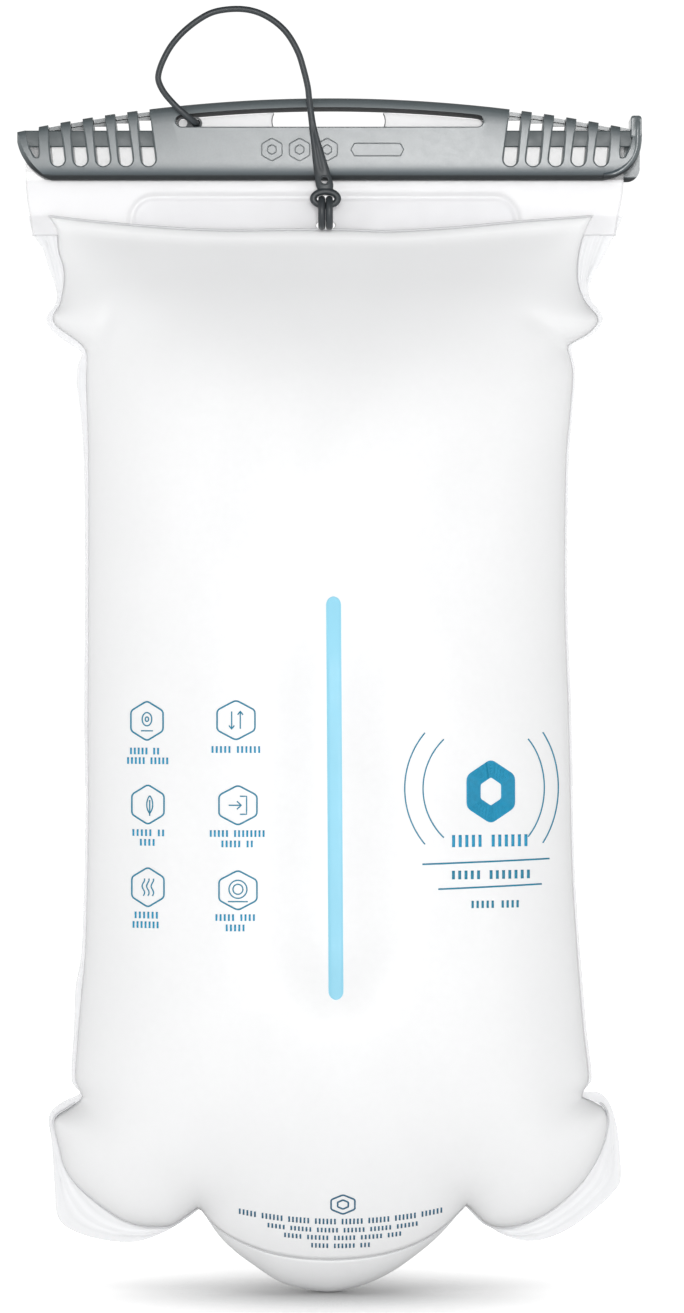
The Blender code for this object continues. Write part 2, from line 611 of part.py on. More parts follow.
clear_scene()
clip_plastic = material("clip_plastic", (0.42, 0.45, 0.46), 0.35)
dark_plastic = material("dark_plastic", (0.08, 0.10, 0.11), 0.4)
elastomer = material("elastomer", (0.07, 0.08, 0.09), 0.5)
clear_film = material("clear_film", (0.86, 0.87, 0.88), 0.2)
frosted_film = material("frosted_film", (0.92, 0.93, 0.94), 0.45)
stiff_film = material("stiff_film", (0.84, 0.86, 0.90), 0.3)
blue_rail = material("blue_rail", (0.45, 0.83, 0.98), 0.35)
port_plastic = material("port_plastic", (0.30, 0.32, 0.34), 0.4)
white_plastic = material("white_plastic", (0.85, 0.86, 0.87), 0.4)
spring_steel = material("spring_steel", (0.62, 0.62, 0.64), 0.25, 1.0)

make_slide_clip(clip_plastic)
make_mouth(clear_film, dark_plastic, stiff_film)
make_bag(frosted_film)
make_baffle(blue_rail)
make_port(port_plastic, dark_plastic, elastomer, spring_steel, white_plastic)
make_tether(elastomer)
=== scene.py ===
"""The looks of the hydration bladder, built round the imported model.

The film is a height over the XZ plane: it swells from the welds with the distance to
them.  Lengths are millimetres until a mesh is made.
"""
import math

import bmesh
import bpy
import numpy as np
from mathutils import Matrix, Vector


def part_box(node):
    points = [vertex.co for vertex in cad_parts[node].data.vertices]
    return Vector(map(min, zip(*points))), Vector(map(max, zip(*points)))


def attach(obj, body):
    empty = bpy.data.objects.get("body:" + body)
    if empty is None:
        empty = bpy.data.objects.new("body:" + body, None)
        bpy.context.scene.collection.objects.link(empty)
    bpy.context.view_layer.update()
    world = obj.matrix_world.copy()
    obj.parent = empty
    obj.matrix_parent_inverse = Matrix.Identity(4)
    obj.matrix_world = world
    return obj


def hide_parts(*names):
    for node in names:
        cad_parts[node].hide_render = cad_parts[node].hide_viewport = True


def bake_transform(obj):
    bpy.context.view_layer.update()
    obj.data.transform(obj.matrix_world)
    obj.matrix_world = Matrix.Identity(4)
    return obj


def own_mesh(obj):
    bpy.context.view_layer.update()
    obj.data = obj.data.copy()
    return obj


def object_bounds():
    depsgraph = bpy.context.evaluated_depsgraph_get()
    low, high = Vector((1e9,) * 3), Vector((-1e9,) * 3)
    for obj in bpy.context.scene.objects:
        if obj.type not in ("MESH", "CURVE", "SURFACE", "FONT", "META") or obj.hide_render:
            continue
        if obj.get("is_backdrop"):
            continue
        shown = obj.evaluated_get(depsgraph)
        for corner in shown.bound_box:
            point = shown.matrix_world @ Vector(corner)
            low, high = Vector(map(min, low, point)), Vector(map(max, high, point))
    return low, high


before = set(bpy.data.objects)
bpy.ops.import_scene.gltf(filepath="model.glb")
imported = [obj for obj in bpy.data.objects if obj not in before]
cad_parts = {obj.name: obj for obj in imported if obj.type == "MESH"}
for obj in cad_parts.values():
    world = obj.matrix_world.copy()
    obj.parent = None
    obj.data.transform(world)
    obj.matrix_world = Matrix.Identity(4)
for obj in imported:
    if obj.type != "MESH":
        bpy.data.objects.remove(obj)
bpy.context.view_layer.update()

MM = 0.001


def node_box(name):
    low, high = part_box(name)
    return [v / MM for v in low], [v / MM for v in high]


CLIP_LOW, CLIP_HIGH = node_box("slide_clip")
SKIRT_LOW, SKIRT_HIGH = node_box("front_skirt")
RAIL_LOW, RAIL_HIGH = node_box("mouth_rail")
STRIP_LOW, STRIP_HIGH = node_box("baffle_rail_front")
PLATE_LOW, PLATE_HIGH = node_box("skirt_stiffener")
RING_LOW, RING_HIGH = node_box("tether_ring")
LOOP_LOW, LOOP_HIGH = node_box("tether_loop")


# ---- camera
CAMERA_PLACE = (0.0038, -1.5365, -0.167)
CAMERA_LENS = 138.0


def make_camera():
    """Level, a metre and a half in front, at the middle of the object's height."""
    data = bpy.data.cameras.new("camera")
    cam = bpy.data.objects.new("camera", data)
    bpy.context.collection.objects.link(cam)
    cam.location = CAMERA_PLACE
    cam.rotation_euler = (math.pi / 2, 0, 0)
    data.sensor_fit = "VERTICAL"
    data.sensor_height = 36.0
    data.lens = CAMERA_LENS
    data.clip_end = 30.0
    bpy.context.scene.camera = cam


# ---- small tools
def smoothstep(value, low, high):
    t = np.clip((value - low) / (high - low), 0.0, 1.0)
    return t * t * (3 - 2 * t)


def through(keys, spacing):
    """Even points along a smooth curve through the keys."""
    pts = np.array(keys, dtype=float)
    pts = np.vstack([2 * pts[0] - pts[1], pts, 2 * pts[-1] - pts[-2]])
    fine = []
    for p0, p1, p2, p3 in zip(pts, pts[1:], pts[2:], pts[3:]):
        for k in range(20):
            t = k / 20
            fine.append(0.5 * (2 * p1 + (p2 - p0) * t + (2 * p0 - 5 * p1 + 4 * p2 - p3) * t * t
                               + (3 * p1 - p0 - 3 * p2 + p3) * t ** 3))
    fine.append(pts[-2])
    fine = np.array(fine)
    run = np.concatenate([[0.0], np.cumsum(np.linalg.norm(np.diff(fine, axis=0), axis=1))])
    count = max(2, round(run[-1] / spacing))
    want = np.linspace(0.0, run[-1], count + 1)
    return np.stack([np.interp(want, run, fine[:, i]) for i in range(fine.shape[1])], axis=1)


def arc(cx, cz, rx, rz, start, end, steps):
    angles = [math.radians(start + (end - start) * i / steps) for i in range(steps + 1)]
    return [(cx + rx * math.cos(a), cz + rz * math.sin(a)) for a in angles]


def round_hole(cx, cz, rx, rz, steps):
    return arc(cx, cz, rx, rz, 0, 360, steps)[:-1]


def rounded_box(x0, x1, z0, z1, r, steps):
    return (arc(x1 - r, z1 - r, r, r, 0, 90, steps) + arc(x0 + r, z1 - r, r, r, 90, 180, steps)
            + arc(x0 + r, z0 + r, r, r, 180, 270, steps) + arc(x1 - r, z0 + r, r, r, 270, 360, steps))


def oval(center, u, v, a, b, sides):
    """An ellipse with half axes a along u and b along v."""
    turns = [2 * math.pi * j / sides for j in range(sides)]
    return [center + u * (a * math.cos(t)) + v * (b * math.sin(t)) for t in turns]


def add_mesh(name, verts, faces, mat, body, stands_for=(), smooth=50, outward=True):
    """One piece from millimetre vertices."""
    mesh = bpy.data.meshes.new(name)
    mesh.from_pydata([tuple(float(c) * MM for c in v) for v in verts], [], faces)
    mesh.validate()
    if outward:
        shape = bmesh.new()
        shape.from_mesh(mesh)
        bmesh.ops.recalc_face_normals(shape, faces=shape.faces)
        shape.to_mesh(mesh)
        shape.free()
    mesh.shade_smooth()
    if smooth < 180:
        mesh.set_sharp_from_angle(angle=math.radians(smooth))
    obj = bpy.data.objects.new(name, mesh)
    bpy.context.collection.objects.link(obj)
    if mat:
        mesh.materials.append(mat)
    if body:
        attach(obj, body)
        if stands_for:
            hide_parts(*stands_for)
    return obj


def loft_data(rings, closed=False):
    """Vertices and faces of a skin through rings of equal length."""
    count = len(rings[0])
    verts = [p for ring in rings for p in ring]
    faces = []
    spans = len(rings) if closed else len(rings) - 1
    for i in range(spans):
        a = i * count
        b = (i + 1) % len(rings) * count
        for j in range(count):
            k = (j + 1) % count
            faces.append((a + j, a + k, b + k, b + j))
    if not closed:
        faces.append(tuple(reversed(range(count))))
        faces.append(tuple(range(len(verts) - count, len(verts))))
    return verts, faces


def prism_data(outline, depths):
    """An (x, z) outline carried along Y through the depths."""
    return loft_data([[(x, y, z) for x, z in outline] for y in depths])


def tube_data(path, radius, sides=16, side_axis=(1, 0, 0)):
    """A tube along a path; radius is one number or one for each point."""
    pts = [Vector(p) for p in path]
    radii = radius if hasattr(radius, "__len__") else [radius] * len(pts)
    rings = []
    side = Vector(side_axis)
    for i, (here, r) in enumerate(zip(pts, radii)):
        along = (pts[min(i + 1, len(pts) - 1)] - pts[max(i - 1, 0)]).normalized()
        side = (side - along * side.dot(along)).normalized()
        rings.append(oval(here, side, along.cross(side), r, r, sides))
    return loft_data(rings)


def join_data(parts):
    verts, faces = [], []
    for part_verts, part_faces in parts:
        shift = len(verts)
        verts += list(part_verts)
        faces += [tuple(i + shift for i in face) for face in part_faces]
    return verts, faces


def cut(target, verts, faces):
    """Takes a hidden shape out of a piece."""
    tool = add_mesh("tool", verts, faces, None, None, smooth=180)
    mod = target.modifiers.new("cut", "BOOLEAN")
    mod.operation = "DIFFERENCE"
    mod.solver = "EXACT"
    mod.object = tool
    settle(target)
    bpy.data.objects.remove(tool, do_unlink=True)


def settle(obj, sharp=None):
    """Applies an object's modifiers."""
    bpy.context.view_layer.update()
    graph = bpy.context.evaluated_depsgraph_get()
    mesh = bpy.data.meshes.new_from_object(obj.evaluated_get(graph))
    obj.modifiers.clear()
    old = obj.data
    obj.data = mesh
    bpy.data.meshes.remove(old)
    if sharp:
        obj.data.shade_smooth()
        obj.data.set_sharp_from_angle(angle=math.radians(sharp))


def add_sheet(name, verts, faces, mat, stands_for, thickness, offset=-1.0, body="bladder"):
    """An open surface, smooth all over, that is given a thickness."""
    obj = add_mesh(name, verts, faces, mat, body, stands_for, 180, False)
    mod = obj.modifiers.new("thick", "SOLIDIFY")
    mod.thickness = thickness * MM
    mod.offset = offset
    mod.use_even_offset = False
    settle(obj)
    return obj


# ---- materials
class Nodes:
    """Short ways to make and join shader nodes."""

    def __init__(self, tree):
        self.tree = tree

    def node(self, kind, **settings):
        made = self.tree.nodes.new(kind)
        for key, value in settings.items():
            setattr(made, key, value)
        return made

    def link(self, source, target):
        self.tree.links.new(source, target)

    def apart(self, vector, index):
        made = self.node("ShaderNodeSeparateXYZ")
        self.link(vector, made.inputs[0])
        return made.outputs[index]

    def span(self, value, low, high, to_low=0.0, to_high=1.0, smooth=False):
        made = self.node("ShaderNodeMapRange")
        if smooth:
            made.interpolation_type = "SMOOTHSTEP"
        ends = {"From Min": low, "From Max": high, "To Min": to_low, "To Max": to_high}
        for socket, number in ends.items():
            made.inputs[socket].default_value = number
        self.link(value, made.inputs["Value"])
        return made.outputs[0]

    def math(self, operation, a, b):
        made = self.node("ShaderNodeMath", operation=operation)
        for i, value in enumerate((a, b)):
            if isinstance(value, (int, float)):
                made.inputs[i].default_value = value
            else:
                self.link(value, made.inputs[i])
        return made.outputs[0]


class Surface(Nodes):
    """A Principled material with colour, roughness and bump from noise."""

    def __init__(self, name, color, roughness, **plain):
        self.mat = bpy.data.materials.new(name)
        self.mat.use_nodes = True
        super().__init__(self.mat.node_tree)
        self.shader = self.tree.nodes["Principled BSDF"]
        self.shader.inputs["Roughness"].default_value = roughness
        for socket, value in plain.items():
            self.shader.inputs[socket.replace("_", " ")].default_value = value
        self.place = self.node("ShaderNodeTexCoord").outputs["Object"]
        self.color = self.node("ShaderNodeRGB").outputs[0]
        self.color.default_value = (*color, 1.0)

    def noise(self, size, detail=3.0, stretch=(1, 1, 1)):
        """Noise whose features are about size millimetres."""
        mapping = self.node("ShaderNodeMapping")
        mapping.inputs["Scale"].default_value = stretch
        self.link(self.place, mapping.inputs["Vector"])
        made = self.node("ShaderNodeTexNoise")
        made.inputs["Scale"].default_value = 1 / (size * MM)
        made.inputs["Detail"].default_value = detail
        self.link(mapping.outputs[0], made.inputs["Vector"])
        return made.outputs[0]

    def axis(self, index):
        """A coordinate in millimetres."""
        return self.math("MULTIPLY", self.apart(self.place, index), 1 / MM)

    def shade(self, factor, color):
        """Mixes a colour in by the factor."""
        made = self.node("ShaderNodeMix", data_type="RGBA")
        self.link(factor, made.inputs["Factor"])
        self.link(self.color, made.inputs[6])
        made.inputs[7].default_value = (*color, 1.0)
        self.color = made.outputs[2]

    def tone(self, value, low, high):
        """Multiplies the colour by a value spanning low to high."""
        made = self.node("ShaderNodeVectorMath", operation="SCALE")
        self.link(self.color, made.inputs[0])
        self.link(self.span(value, 0.3, 0.7, low, high), made.inputs["Scale"])
        self.color = made.outputs[0]

    def rough(self, value, low, high):
        self.link(self.span(value, 0.3, 0.7, low, high), self.shader.inputs["Roughness"])

    def bump(self, value, height, strength=0.5):
        made = self.node("ShaderNodeBump")
        made.inputs["Distance"].default_value = height * MM
        made.inputs["Strength"].default_value = strength
        self.link(value, made.inputs["Height"])
        self.link(made.outputs[0], self.shader.inputs["Normal"])

    def done(self):
        self.link(self.color, self.shader.inputs["Base Color"])
        return self.mat


def textured(name, color, roughness, tones, rough, bump, stretch=(1, 1, 1), **plain):
    """Layers of noise, each given as size, detail and the two values it runs between."""
    s = Surface(name, color, roughness, **plain)
    for size, detail, low, high in tones:
        s.tone(s.noise(size, detail, stretch), low, high)
    s.rough(s.noise(*rough[:2], stretch), *rough[2:])
    s.bump(s.noise(*bump[:2], stretch), *bump[2:])
    return s


def moulded(name, color, roughness, grain=0.35):
    """Satin moulded plastic: fine spark grain, faint flow marks, light scuffs."""
    return textured(name, color, roughness, [(9.0, 4.0, 0.96, 1.04), (0.8, 2.0, 0.976, 1.024)],
                    (4.0, 4.0, roughness - 0.05, roughness + 0.06), (grain, 2.0, 0.02, 0.5)).done()


# the clip's grey, then the colours of its painted shade: the lower face, and the near-black foot and under
# edges
CLIP_GREY = (0.096, 0.114, 0.120)
CLIP_PAINTED_SHADE = (0.045, 0.065, 0.078)
CLIP_PAINTED_UNDERSIDE_SHADE = (0.006, 0.009, 0.011)


def make_clip_material():
    """Satin grey, with painted shade: the lower face darkens towards the foot, and the foot and down-facing
    under edges are painted near-black.
    """
    s = Surface("clip_plastic", CLIP_GREY, 0.28, IOR=1.6)
    z = s.axis(2)
    facing = s.apart(s.node("ShaderNodeNewGeometry").outputs["Normal"], 2)
    s.tone(s.noise(14.0, 3.0, (0.35, 1, 1)), 0.98, 1.02)
    s.tone(s.noise(0.6, 2.0), 0.96, 1.04)
    # painted shade: the face darkens over its lowest few millimetres
    s.shade(s.span(z, CLIP_LOW[2] + 5.5, CLIP_LOW[2] + 1.6, 0.0, 0.7, smooth=True), CLIP_PAINTED_SHADE)
    # painted shade: the foot and every down-facing surface are painted near-black; the same mask also
    # roughens them
    low = s.span(z, CLIP_LOW[2] + 1.8, CLIP_LOW[2] + 1.0, smooth=True)
    rim = s.math("MAXIMUM", low, s.span(facing, -0.22, -0.6, smooth=True))
    s.shade(rim, CLIP_PAINTED_UNDERSIDE_SHADE)
    gloss = s.span(s.noise(2.0, 4.0), 0.3, 0.7, 0.275, 0.305)
    s.link(s.math("ADD", gloss, s.math("MULTIPLY", rim, 0.45)), s.shader.inputs["Roughness"])
    s.bump(s.noise(0.30, 2.0), 0.012)
    return s.done()


def make_frosted():
    """Frosted TPU film: cloudy, with a fine embossed grain, and painted shade that darkens it towards its
    top, its bottom and its sides.
    """
    s = textured("frosted_film", (0.81, 0.812, 0.816), 0.5,
                 [(28.0, 4.0, 0.985, 1.015), (2.2, 3.0, 0.992, 1.008)],
                 (7.0, 3.0, 0.44, 0.56), (0.9, 3.0, 0.02, 0.35))
    # painted shade: darker towards the top weld, towards the bottom and towards both sides
    z = s.axis(2)
    ends = s.math("MAXIMUM", s.span(z, -105.0, -45.0, smooth=True),
                  s.span(z, -265.0, -320.0, 0.0, 0.4, smooth=True))
    sides = s.span(s.math("ABSOLUTE", s.axis(0), 0.0), 44.0, 70.0, 0.0, 0.45, smooth=True)
    s.shade(s.math("MAXIMUM", ends, sides), (0.735, 0.739, 0.744))
    return s.done()


def make_film(name, color, alpha):
    """Clear film: it shows by its gloss, a faint milkiness and how much it hides."""
    return textured(name, color, 0.36, [(15.0, 3.0, 0.99, 1.01)], (6.0, 3.0, 0.34, 0.41),
                    (2.4, 3.0, 0.015, 0.3), Alpha=alpha).done()


def make_ink(name, color):
    """Screen-printed ink: thin, with a fine mottle."""
    return textured(name, color, 0.5, [(1.2, 3.0, 0.93, 1.07)], (2.0, 2.0, 0.45, 0.55),
                    (0.4, 2.0, 0.008, 0.5)).done()


# ---- tether
LINK_Z = -4.65
CORD_D = 1.9
CORD_ROUTE = [(-40.6, -3.2, LINK_Z), (-40.7, -5.2, LINK_Z), (-41.6, -7.3, -4.2), (-43.6, -8.3, -2.6),
              (-46.9, -8.5, 0.4), (-50.1, -8.4, 4.1), (-51.8, -8.2, 7.4), (-51.9, -8.1, 10.0),
              (-50.6, -8.0, 13.9), (-48.0, -7.9, 18.6), (-44.1, -7.8, 23.0), (-39.0, -7.8, 26.9),
              (-34.3, -7.8, 29.0), (-27.8, -7.8, 29.7), (-22.2, -7.8, 28.8), (-17.1, -7.8, 26.2),
              (-12.9, -7.8, 22.3), (-9.6, -7.7, 16.7), (-7.8, -7.6, 11.1), (-6.6, -7.6, 6.0),
              (-6.25, -7.55, 3.0)]
CORD_SPLIT = 10                  # the point where the two lengths meet


def make_cord(mat):
    """The cord in two lengths: one from the link, one to the strap."""
    whole = through(CORD_ROUTE, 0.7)
    split = int(np.argmin(np.linalg.norm(whole - np.array(CORD_ROUTE[CORD_SPLIT]), axis=1)))
    made = []
    for name, path in (("tether_cord_link_side", whole[:split + 1]),
                       ("tether_cord_strap_side", whole[split:])):
        verts, faces = tube_data(path, CORD_D / 2, 20)
        obj = add_mesh(name, verts, faces, mat, None, smooth=60)
        made.append(obj)
    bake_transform(made[0])
    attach(made[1], "bladder")
    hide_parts("tether_cord")


# the strap's rows: height, middle, half width, front, back
STRAP = [(3.2, -6.25, 0.95, -8.5, -6.6), (0.5, -5.95, 0.98, -8.5, -6.7), (-6.1, -5.05, 1.15, -8.45, -6.8),
         (-11.0, -4.1, 1.5, -8.35, -6.9), (-14.9, -3.3, 1.95, -8.3, -6.9), (-18.4, -2.55, 2.3, -8.3, -6.9),
         (-21.0, -2.0, 2.5, -8.3, -6.9), (-23.7, -1.5, 2.7, -8.35, -6.8), (-25.2, -1.3, 2.3, -8.3, -6.9)]
EYELET_X, EYELET_Z = -1.5, -22.4


def make_strap(mat):
    """A flat strap with a groove down its middle and an eyelet near its foot."""
    rings = []
    for z, middle, half, front, back in through(STRAP, 0.6):
        ring = []
        groove = 0.34 * float(smoothstep(-z, 3.0, 9.0)) * (1 - float(smoothstep(-z, 18.0, 21.0)))
        for t in np.linspace(0.04, 0.96, 17):
            x = middle - half * math.cos(math.pi * t)
            y = back + (front - back) * math.sin(math.pi * t) ** 0.5
            ring.append((x, y + groove * math.exp(-((x - middle) / (0.28 * half)) ** 2), z))
        ring += [(middle + half * 0.9, back, z), (middle - half * 0.9, back, z)]
        rings.append(ring)
    verts, faces = loft_data(rings)
    strap = add_mesh("strap", verts, faces, mat, "bladder", ["tether_strap"], 45)
    cut(strap, *prism_data(round_hole(EYELET_X, EYELET_Z, 1.05, 1.05, 32), (-10.0, -5.0)))
    rim = [(x, -8.3, z) for x, z in arc(EYELET_X, EYELET_Z, 1.3, 1.3, 0, 360, 40)]
    verts, faces = tube_data(rim, 0.3, 10, side_axis=(0, 1, 0))
    add_mesh("strap_eyelet_rim", verts, faces, mat, "bladder")
    settle(strap, 40)


RING_HALF = 0.95                 # half the ring's thickness


def make_ring(mat):
    """A thick oval ring round the loop."""
    cx, cy, cz = [(low + high) / 2 for low, high in zip(RING_LOW, RING_HIGH)]
    rx = (RING_HIGH[0] - RING_LOW[0]) / 2 - RING_HALF
    rz = (RING_HIGH[2] - RING_LOW[2]) / 2 - RING_HALF
    rings = []
    for i in range(72):
        a = 2 * math.pi * i / 72
        center = Vector((cx + rx * math.cos(a), cy - 0.25, cz + rz * math.sin(a)))
        out = Vector((math.cos(a), 0, math.sin(a)))
        rings.append(oval(center, out, Vector((0, 1, 0)), RING_HALF + 0.1, RING_HALF, 18))
    verts, faces = loft_data(rings, closed=True)
    add_mesh("ring", verts, faces, mat, "bladder", ["tether_ring"])


# the loop's closed route in (y, z), from the front and over to the back
LOOP_ROUTE = [(0.0, -27.9), (-3.4, -27.9), (-6.6, -27.9), (-9.2, -28.6), (-10.4, -30.6), (-10.4, -33.0),
              (-9.0, -35.3), (-6.4, -36.3), (-3.2, -36.0), (0.0, -35.4), (2.6, -34.6), (3.6, -32.8),
              (3.6, -30.4), (2.5, -28.5)]


def make_loop(mat):
    """Two strands side by side, through the skirt and back."""
    fine = through(LOOP_ROUTE[-2:] + LOOP_ROUTE + LOOP_ROUTE[:3], 0.7)
    from_start = np.linalg.norm(fine - np.array(LOOP_ROUTE[0]), axis=1)
    start = int(np.argmin(from_start[:40]))
    end = start + 20 + int(np.argmin(from_start[start + 20:]))
    loop = fine[start:end]
    middle = (LOOP_LOW[0] + LOOP_HIGH[0]) / 2
    across = Vector((1, 0, 0))
    parts = []
    for side in (-1, 1):
        rings = []
        for i, (y, z) in enumerate(loop):
            run = loop[(i + 1) % len(loop)] - loop[i - 1]
            along = Vector((0, run[0], run[1])).normalized()
            here = Vector((middle + side * 1.14, y, z))
            rings.append(oval(here, across, across.cross(along), 1.1, 1.0, 18))
        parts.append(loft_data(rings, closed=True))
    verts, faces = join_data(parts)
    add_mesh("loop_strands", verts, faces, mat, "bladder", ["tether_loop"])


# ---- slide clip
CLIP_CROWN, CLIP_FALL = 3.0, 0.00111
ARCH_THICK = 3.0
RIB_THICK = 1.2
HANDLE_HALF, HANDLE_FLOOR = 46.8, -5.9
SLOT_FIRST, SLOT_PITCH, SLOT_WIDTH, SLOT_FLOOR, SLOT_LEAN = 55.0, 6.9, 4.1, -17.9, 1.4
CHAMFER, SLOT_CHAMFER = 0.4, 0.6
REAR_WALL, BEHIND_CLIP = 3.2, 9.0    # depths of the rear wall's inner face and of a place behind it


def clip_top(x):
    return CLIP_CROWN - CLIP_FALL * x * x


def clip_section(x):
    """Round shoulders and foot, a face that leans in slightly below its middle."""
    top = clip_top(x)
    blend = float(smoothstep(abs(x), HANDLE_HALF + 1.2, HANDLE_HALF + 4.2))
    ceiling = top - (ARCH_THICK + 0.2) * (1 - blend) - RIB_THICK * blend
    depth = -CLIP_LOW[1]
    inner = depth - 1.6
    bottom = CLIP_LOW[2]
    foot = [(2.9, 0.0), (2.1, 0.12), (1.5, 0.42), (1.05, 0.9), (0.72, 1.6), (0.48, 2.5), (0.26, 3.8),
            (0.1, 5.4), (0.02, 7.2)]
    outside = [(1.6, bottom)] + [(depth - back, bottom + rise) for back, rise in foot]
    outside += [(depth - 0.12, top - 5.4), (depth - 0.3, top - 3.4)]
    outside += arc(depth - 2.8, top - 2.6, 2.4, 2.6, 12, 90, 7)
    shelf = bottom + 1.8
    inside = [(inner, ceiling), (inner, shelf), (1.6, shelf)]
    outline = outside + [(-y, z) for y, z in reversed(outside)]
    outline += [(-y, z) for y, z in reversed(inside)] + inside
    return [(x, y, z) for y, z in outline]


def slot_outline(middle, side, top_z, grow):
    lean = SLOT_LEAN * (top_z - SLOT_FLOOR) / 14.0 * side
    r = SLOT_WIDTH / 2 + grow
    foot = arc(middle, SLOT_FLOOR + SLOT_WIDTH / 2, r, r, 0, -180, 20)
    return foot + [(middle + lean - r + 0.25, top_z), (middle + lean + r - 0.25, top_z)]


def end_slot_outline(side, grow):
    """The short blind slot, which narrows to its foot, in the last rib."""
    pts = [(88.5 - grow, -4.0), (88.4 - grow, -14.4), (88.6 - grow, -15.1 - grow),
           (89.1, -15.35 - grow), (89.7 + grow, -15.0 - grow), (91.3 + grow, -12.0 - grow),
           (92.3 + grow, -9.0), (92.8 + grow, -4.0)]
    return [(side * x, z) for x, z in pts]


def handle_outline(grow):
    r = 1.8 + grow
    half = HANDLE_HALF + grow
    floor = HANDLE_FLOOR - grow
    edge = [(x, clip_top(x) - ARCH_THICK + grow) for x in np.linspace(-44, 44, 23)]
    outline = [(half - r, floor), (-half + r, floor)]
    outline += arc(-half + r, floor + r, r, r, 250, 110, 10) + edge
    outline += arc(half - r, floor + r, r, r, 70, -70, 10)
    return outline


def opening(outline_of, far, chamfer=CHAMFER):
    """A cutter from the front face to a depth, chamfered where it leaves the face."""
    front = CLIP_LOW[1]
    steps = [(front - 2.5, chamfer), (front, chamfer), (front + chamfer, 0.0), (far, 0.0)]
    return loft_data([[(x, y, z) for x, z in outline_of(grow)] for y, grow in steps])


def make_clip(mat):
    half = CLIP_HIGH[0]
    stations = sorted(set([-half, half] + [float(x) for x in range(-93, 94, 3)]
                          + [s * v for s in (-1, 1) for v in (49.5, 50.5)]))
    verts, faces = loft_data([clip_section(x) for x in stations])
    clip = add_mesh("clip_moulding", verts, faces, mat, "clip", ["slide_clip"], 35)
    cut(clip, *opening(handle_outline, BEHIND_CLIP))
    for side in (-1, 1):
        for i in range(5):
            middle = side * (SLOT_FIRST + SLOT_PITCH * i)
            cut(clip, *opening(lambda g: slot_outline(middle, side, 5.0, g), REAR_WALL + 0.2, SLOT_CHAMFER))
            window = slot_outline(middle, side, clip_top(middle) - 2.4, 0.0)
            cut(clip, *prism_data(window, (REAR_WALL, BEHIND_CLIP)))
        cut(clip, *opening(lambda g: end_slot_outline(side, g), -3.0))
    roof = [(-97, -8.6), (-88.6, -8.6), (-88.6, 6), (-97, 6)]
    cut(clip, *prism_data(roof, (-5.0, 5.0)))
    cut(clip, *opening(left_corner, BEHIND_CLIP, 1.3))
    cut(clip, *opening(right_corner, 3.0, 1.0))
    rear = [(97, -24), (90.5, -24), (90.5, -21.9)] + arc(90.5, -17.4, 4.5, 4.5, -90, 0, 16) + [(97, -17.4)]
    cut(clip, *prism_data(rear, (2.5, BEHIND_CLIP)))
    settle(clip, 32)
    make_stop(mat)


def left_corner(grow):
    return ([(-80.5, -24), (-97, -24), (-97, -7)]
            + arc(-81, -7.5, 14.3 - grow, 14.9 - grow, 178, 272, 40))


def right_corner(grow):
    return ([(97, -24), (80.5, -24)] + arc(82.0, -8.9, 13.05 - grow, 13.05 - grow, -92, 0, 40)
            + [(97, -8.9)])


def make_stop(mat):
    """The raised rim at the right end and the small plate behind it."""
    path = arc(83.0, -9.9, 10.7, 10.85, -88, 0, 30) + [(93.75, -7.0), (93.75, -4.4), (93.6, -3.4)]
    size = [1.0 + 0.25 * min(1.0, i / 12) for i in range(len(path) - 1)] + [0.7]
    verts, faces = tube_data([(x, -5.3, z) for x, z in path], size, 16, side_axis=(0, 1, 0))
    add_mesh("stop_rim", verts, faces, mat, "clip")
    x0, x1, z0, z1 = 91.6, 94.95, -9.5, -2.45
    cx, cz = (x0 + x1) / 2, (z0 + z1) / 2
    plate = rounded_box(x0, x1, z0, z1, 0.9, 6)
    rings = []
    for y, shrink in ((-6.3, 0.82), (-6.0, 0.97), (-5.6, 1.0), (5.4, 1.0), (5.8, 0.97), (6.1, 0.82)):
        rings.append([(cx + (x - cx) * shrink, y, cz + (z - cz) * shrink) for x, z in plate])
    verts, faces = loft_data(rings)
    add_mesh("stop_plate", verts, faces, mat, "clip", smooth=30)


# ---- film surface
# the welded edge from the shoulder down: x and z of the outer edge, then of the line where
# the film begins to swell
LEFT_EDGE = [
    (-91.8, -32.5, -85.9, -32.5), (-90.5, -38.0, -83.4, -37.0), (-87.4, -42.9, -82.9, -43.0),
    (-85.9, -47.8, -81.4, -48.0), (-84.1, -52.7, -81.2, -53.0), (-83.2, -57.3, -81.9, -57.4),
    (-84.2, -60.5, -82.8, -60.4), (-86.3, -63.2, -84.6, -62.9), (-85.7, -66.2, -83.8, -65.8),
    (-83.0, -69.0, -80.4, -68.4), (-79.0, -71.8, -76.9, -70.8), (-75.7, -74.3, -74.3, -73.9),
    (-76.9, -78.5, -74.2, -78.5), (-77.2, -84.0, -74.3, -84.0), (-76.1, -91.8, -74.0, -92.0),
    (-74.9, -110.0, -73.6, -110.0), (-74.6, -150.0, -73.6, -150.0), (-74.9, -183.0, -73.8, -183.0),
    (-74.6, -208.0, -73.7, -208.0), (-74.9, -232.0, -73.9, -232.0), (-75.8, -256.6, -74.6, -256.6),
    (-77.7, -268.8, -75.7, -269.0), (-78.1, -281.0, -76.7, -281.0), (-78.9, -295.0, -77.6, -294.6),
    (-77.6, -298.4, -76.5, -298.4), (-76.3, -300.4, -75.5, -301.2), (-80.9, -302.6, -79.4, -304.4),
    (-84.5, -305.2, -82.9, -306.6), (-85.8, -308.4, -84.2, -309.0), (-84.9, -315.0, -82.7, -315.5),
    (-84.4, -322.0, -80.9, -322.3), (-83.9, -330.0, -77.0, -328.3), (-83.3, -337.0, -71.6, -333.2),
    (-80.5, -341.0, -66.5, -337.0), (-73.5, -344.0, -62.5, -339.3), (-65.0, -345.6, -58.0, -340.7),
    (-58.0, -345.4, -53.0, -341.1), (-50.5, -342.7, -48.2, -340.8), (-44.5, -339.0, -44.0, -338.3),
    (-39.6, -335.2, -39.6, -335.0),
]
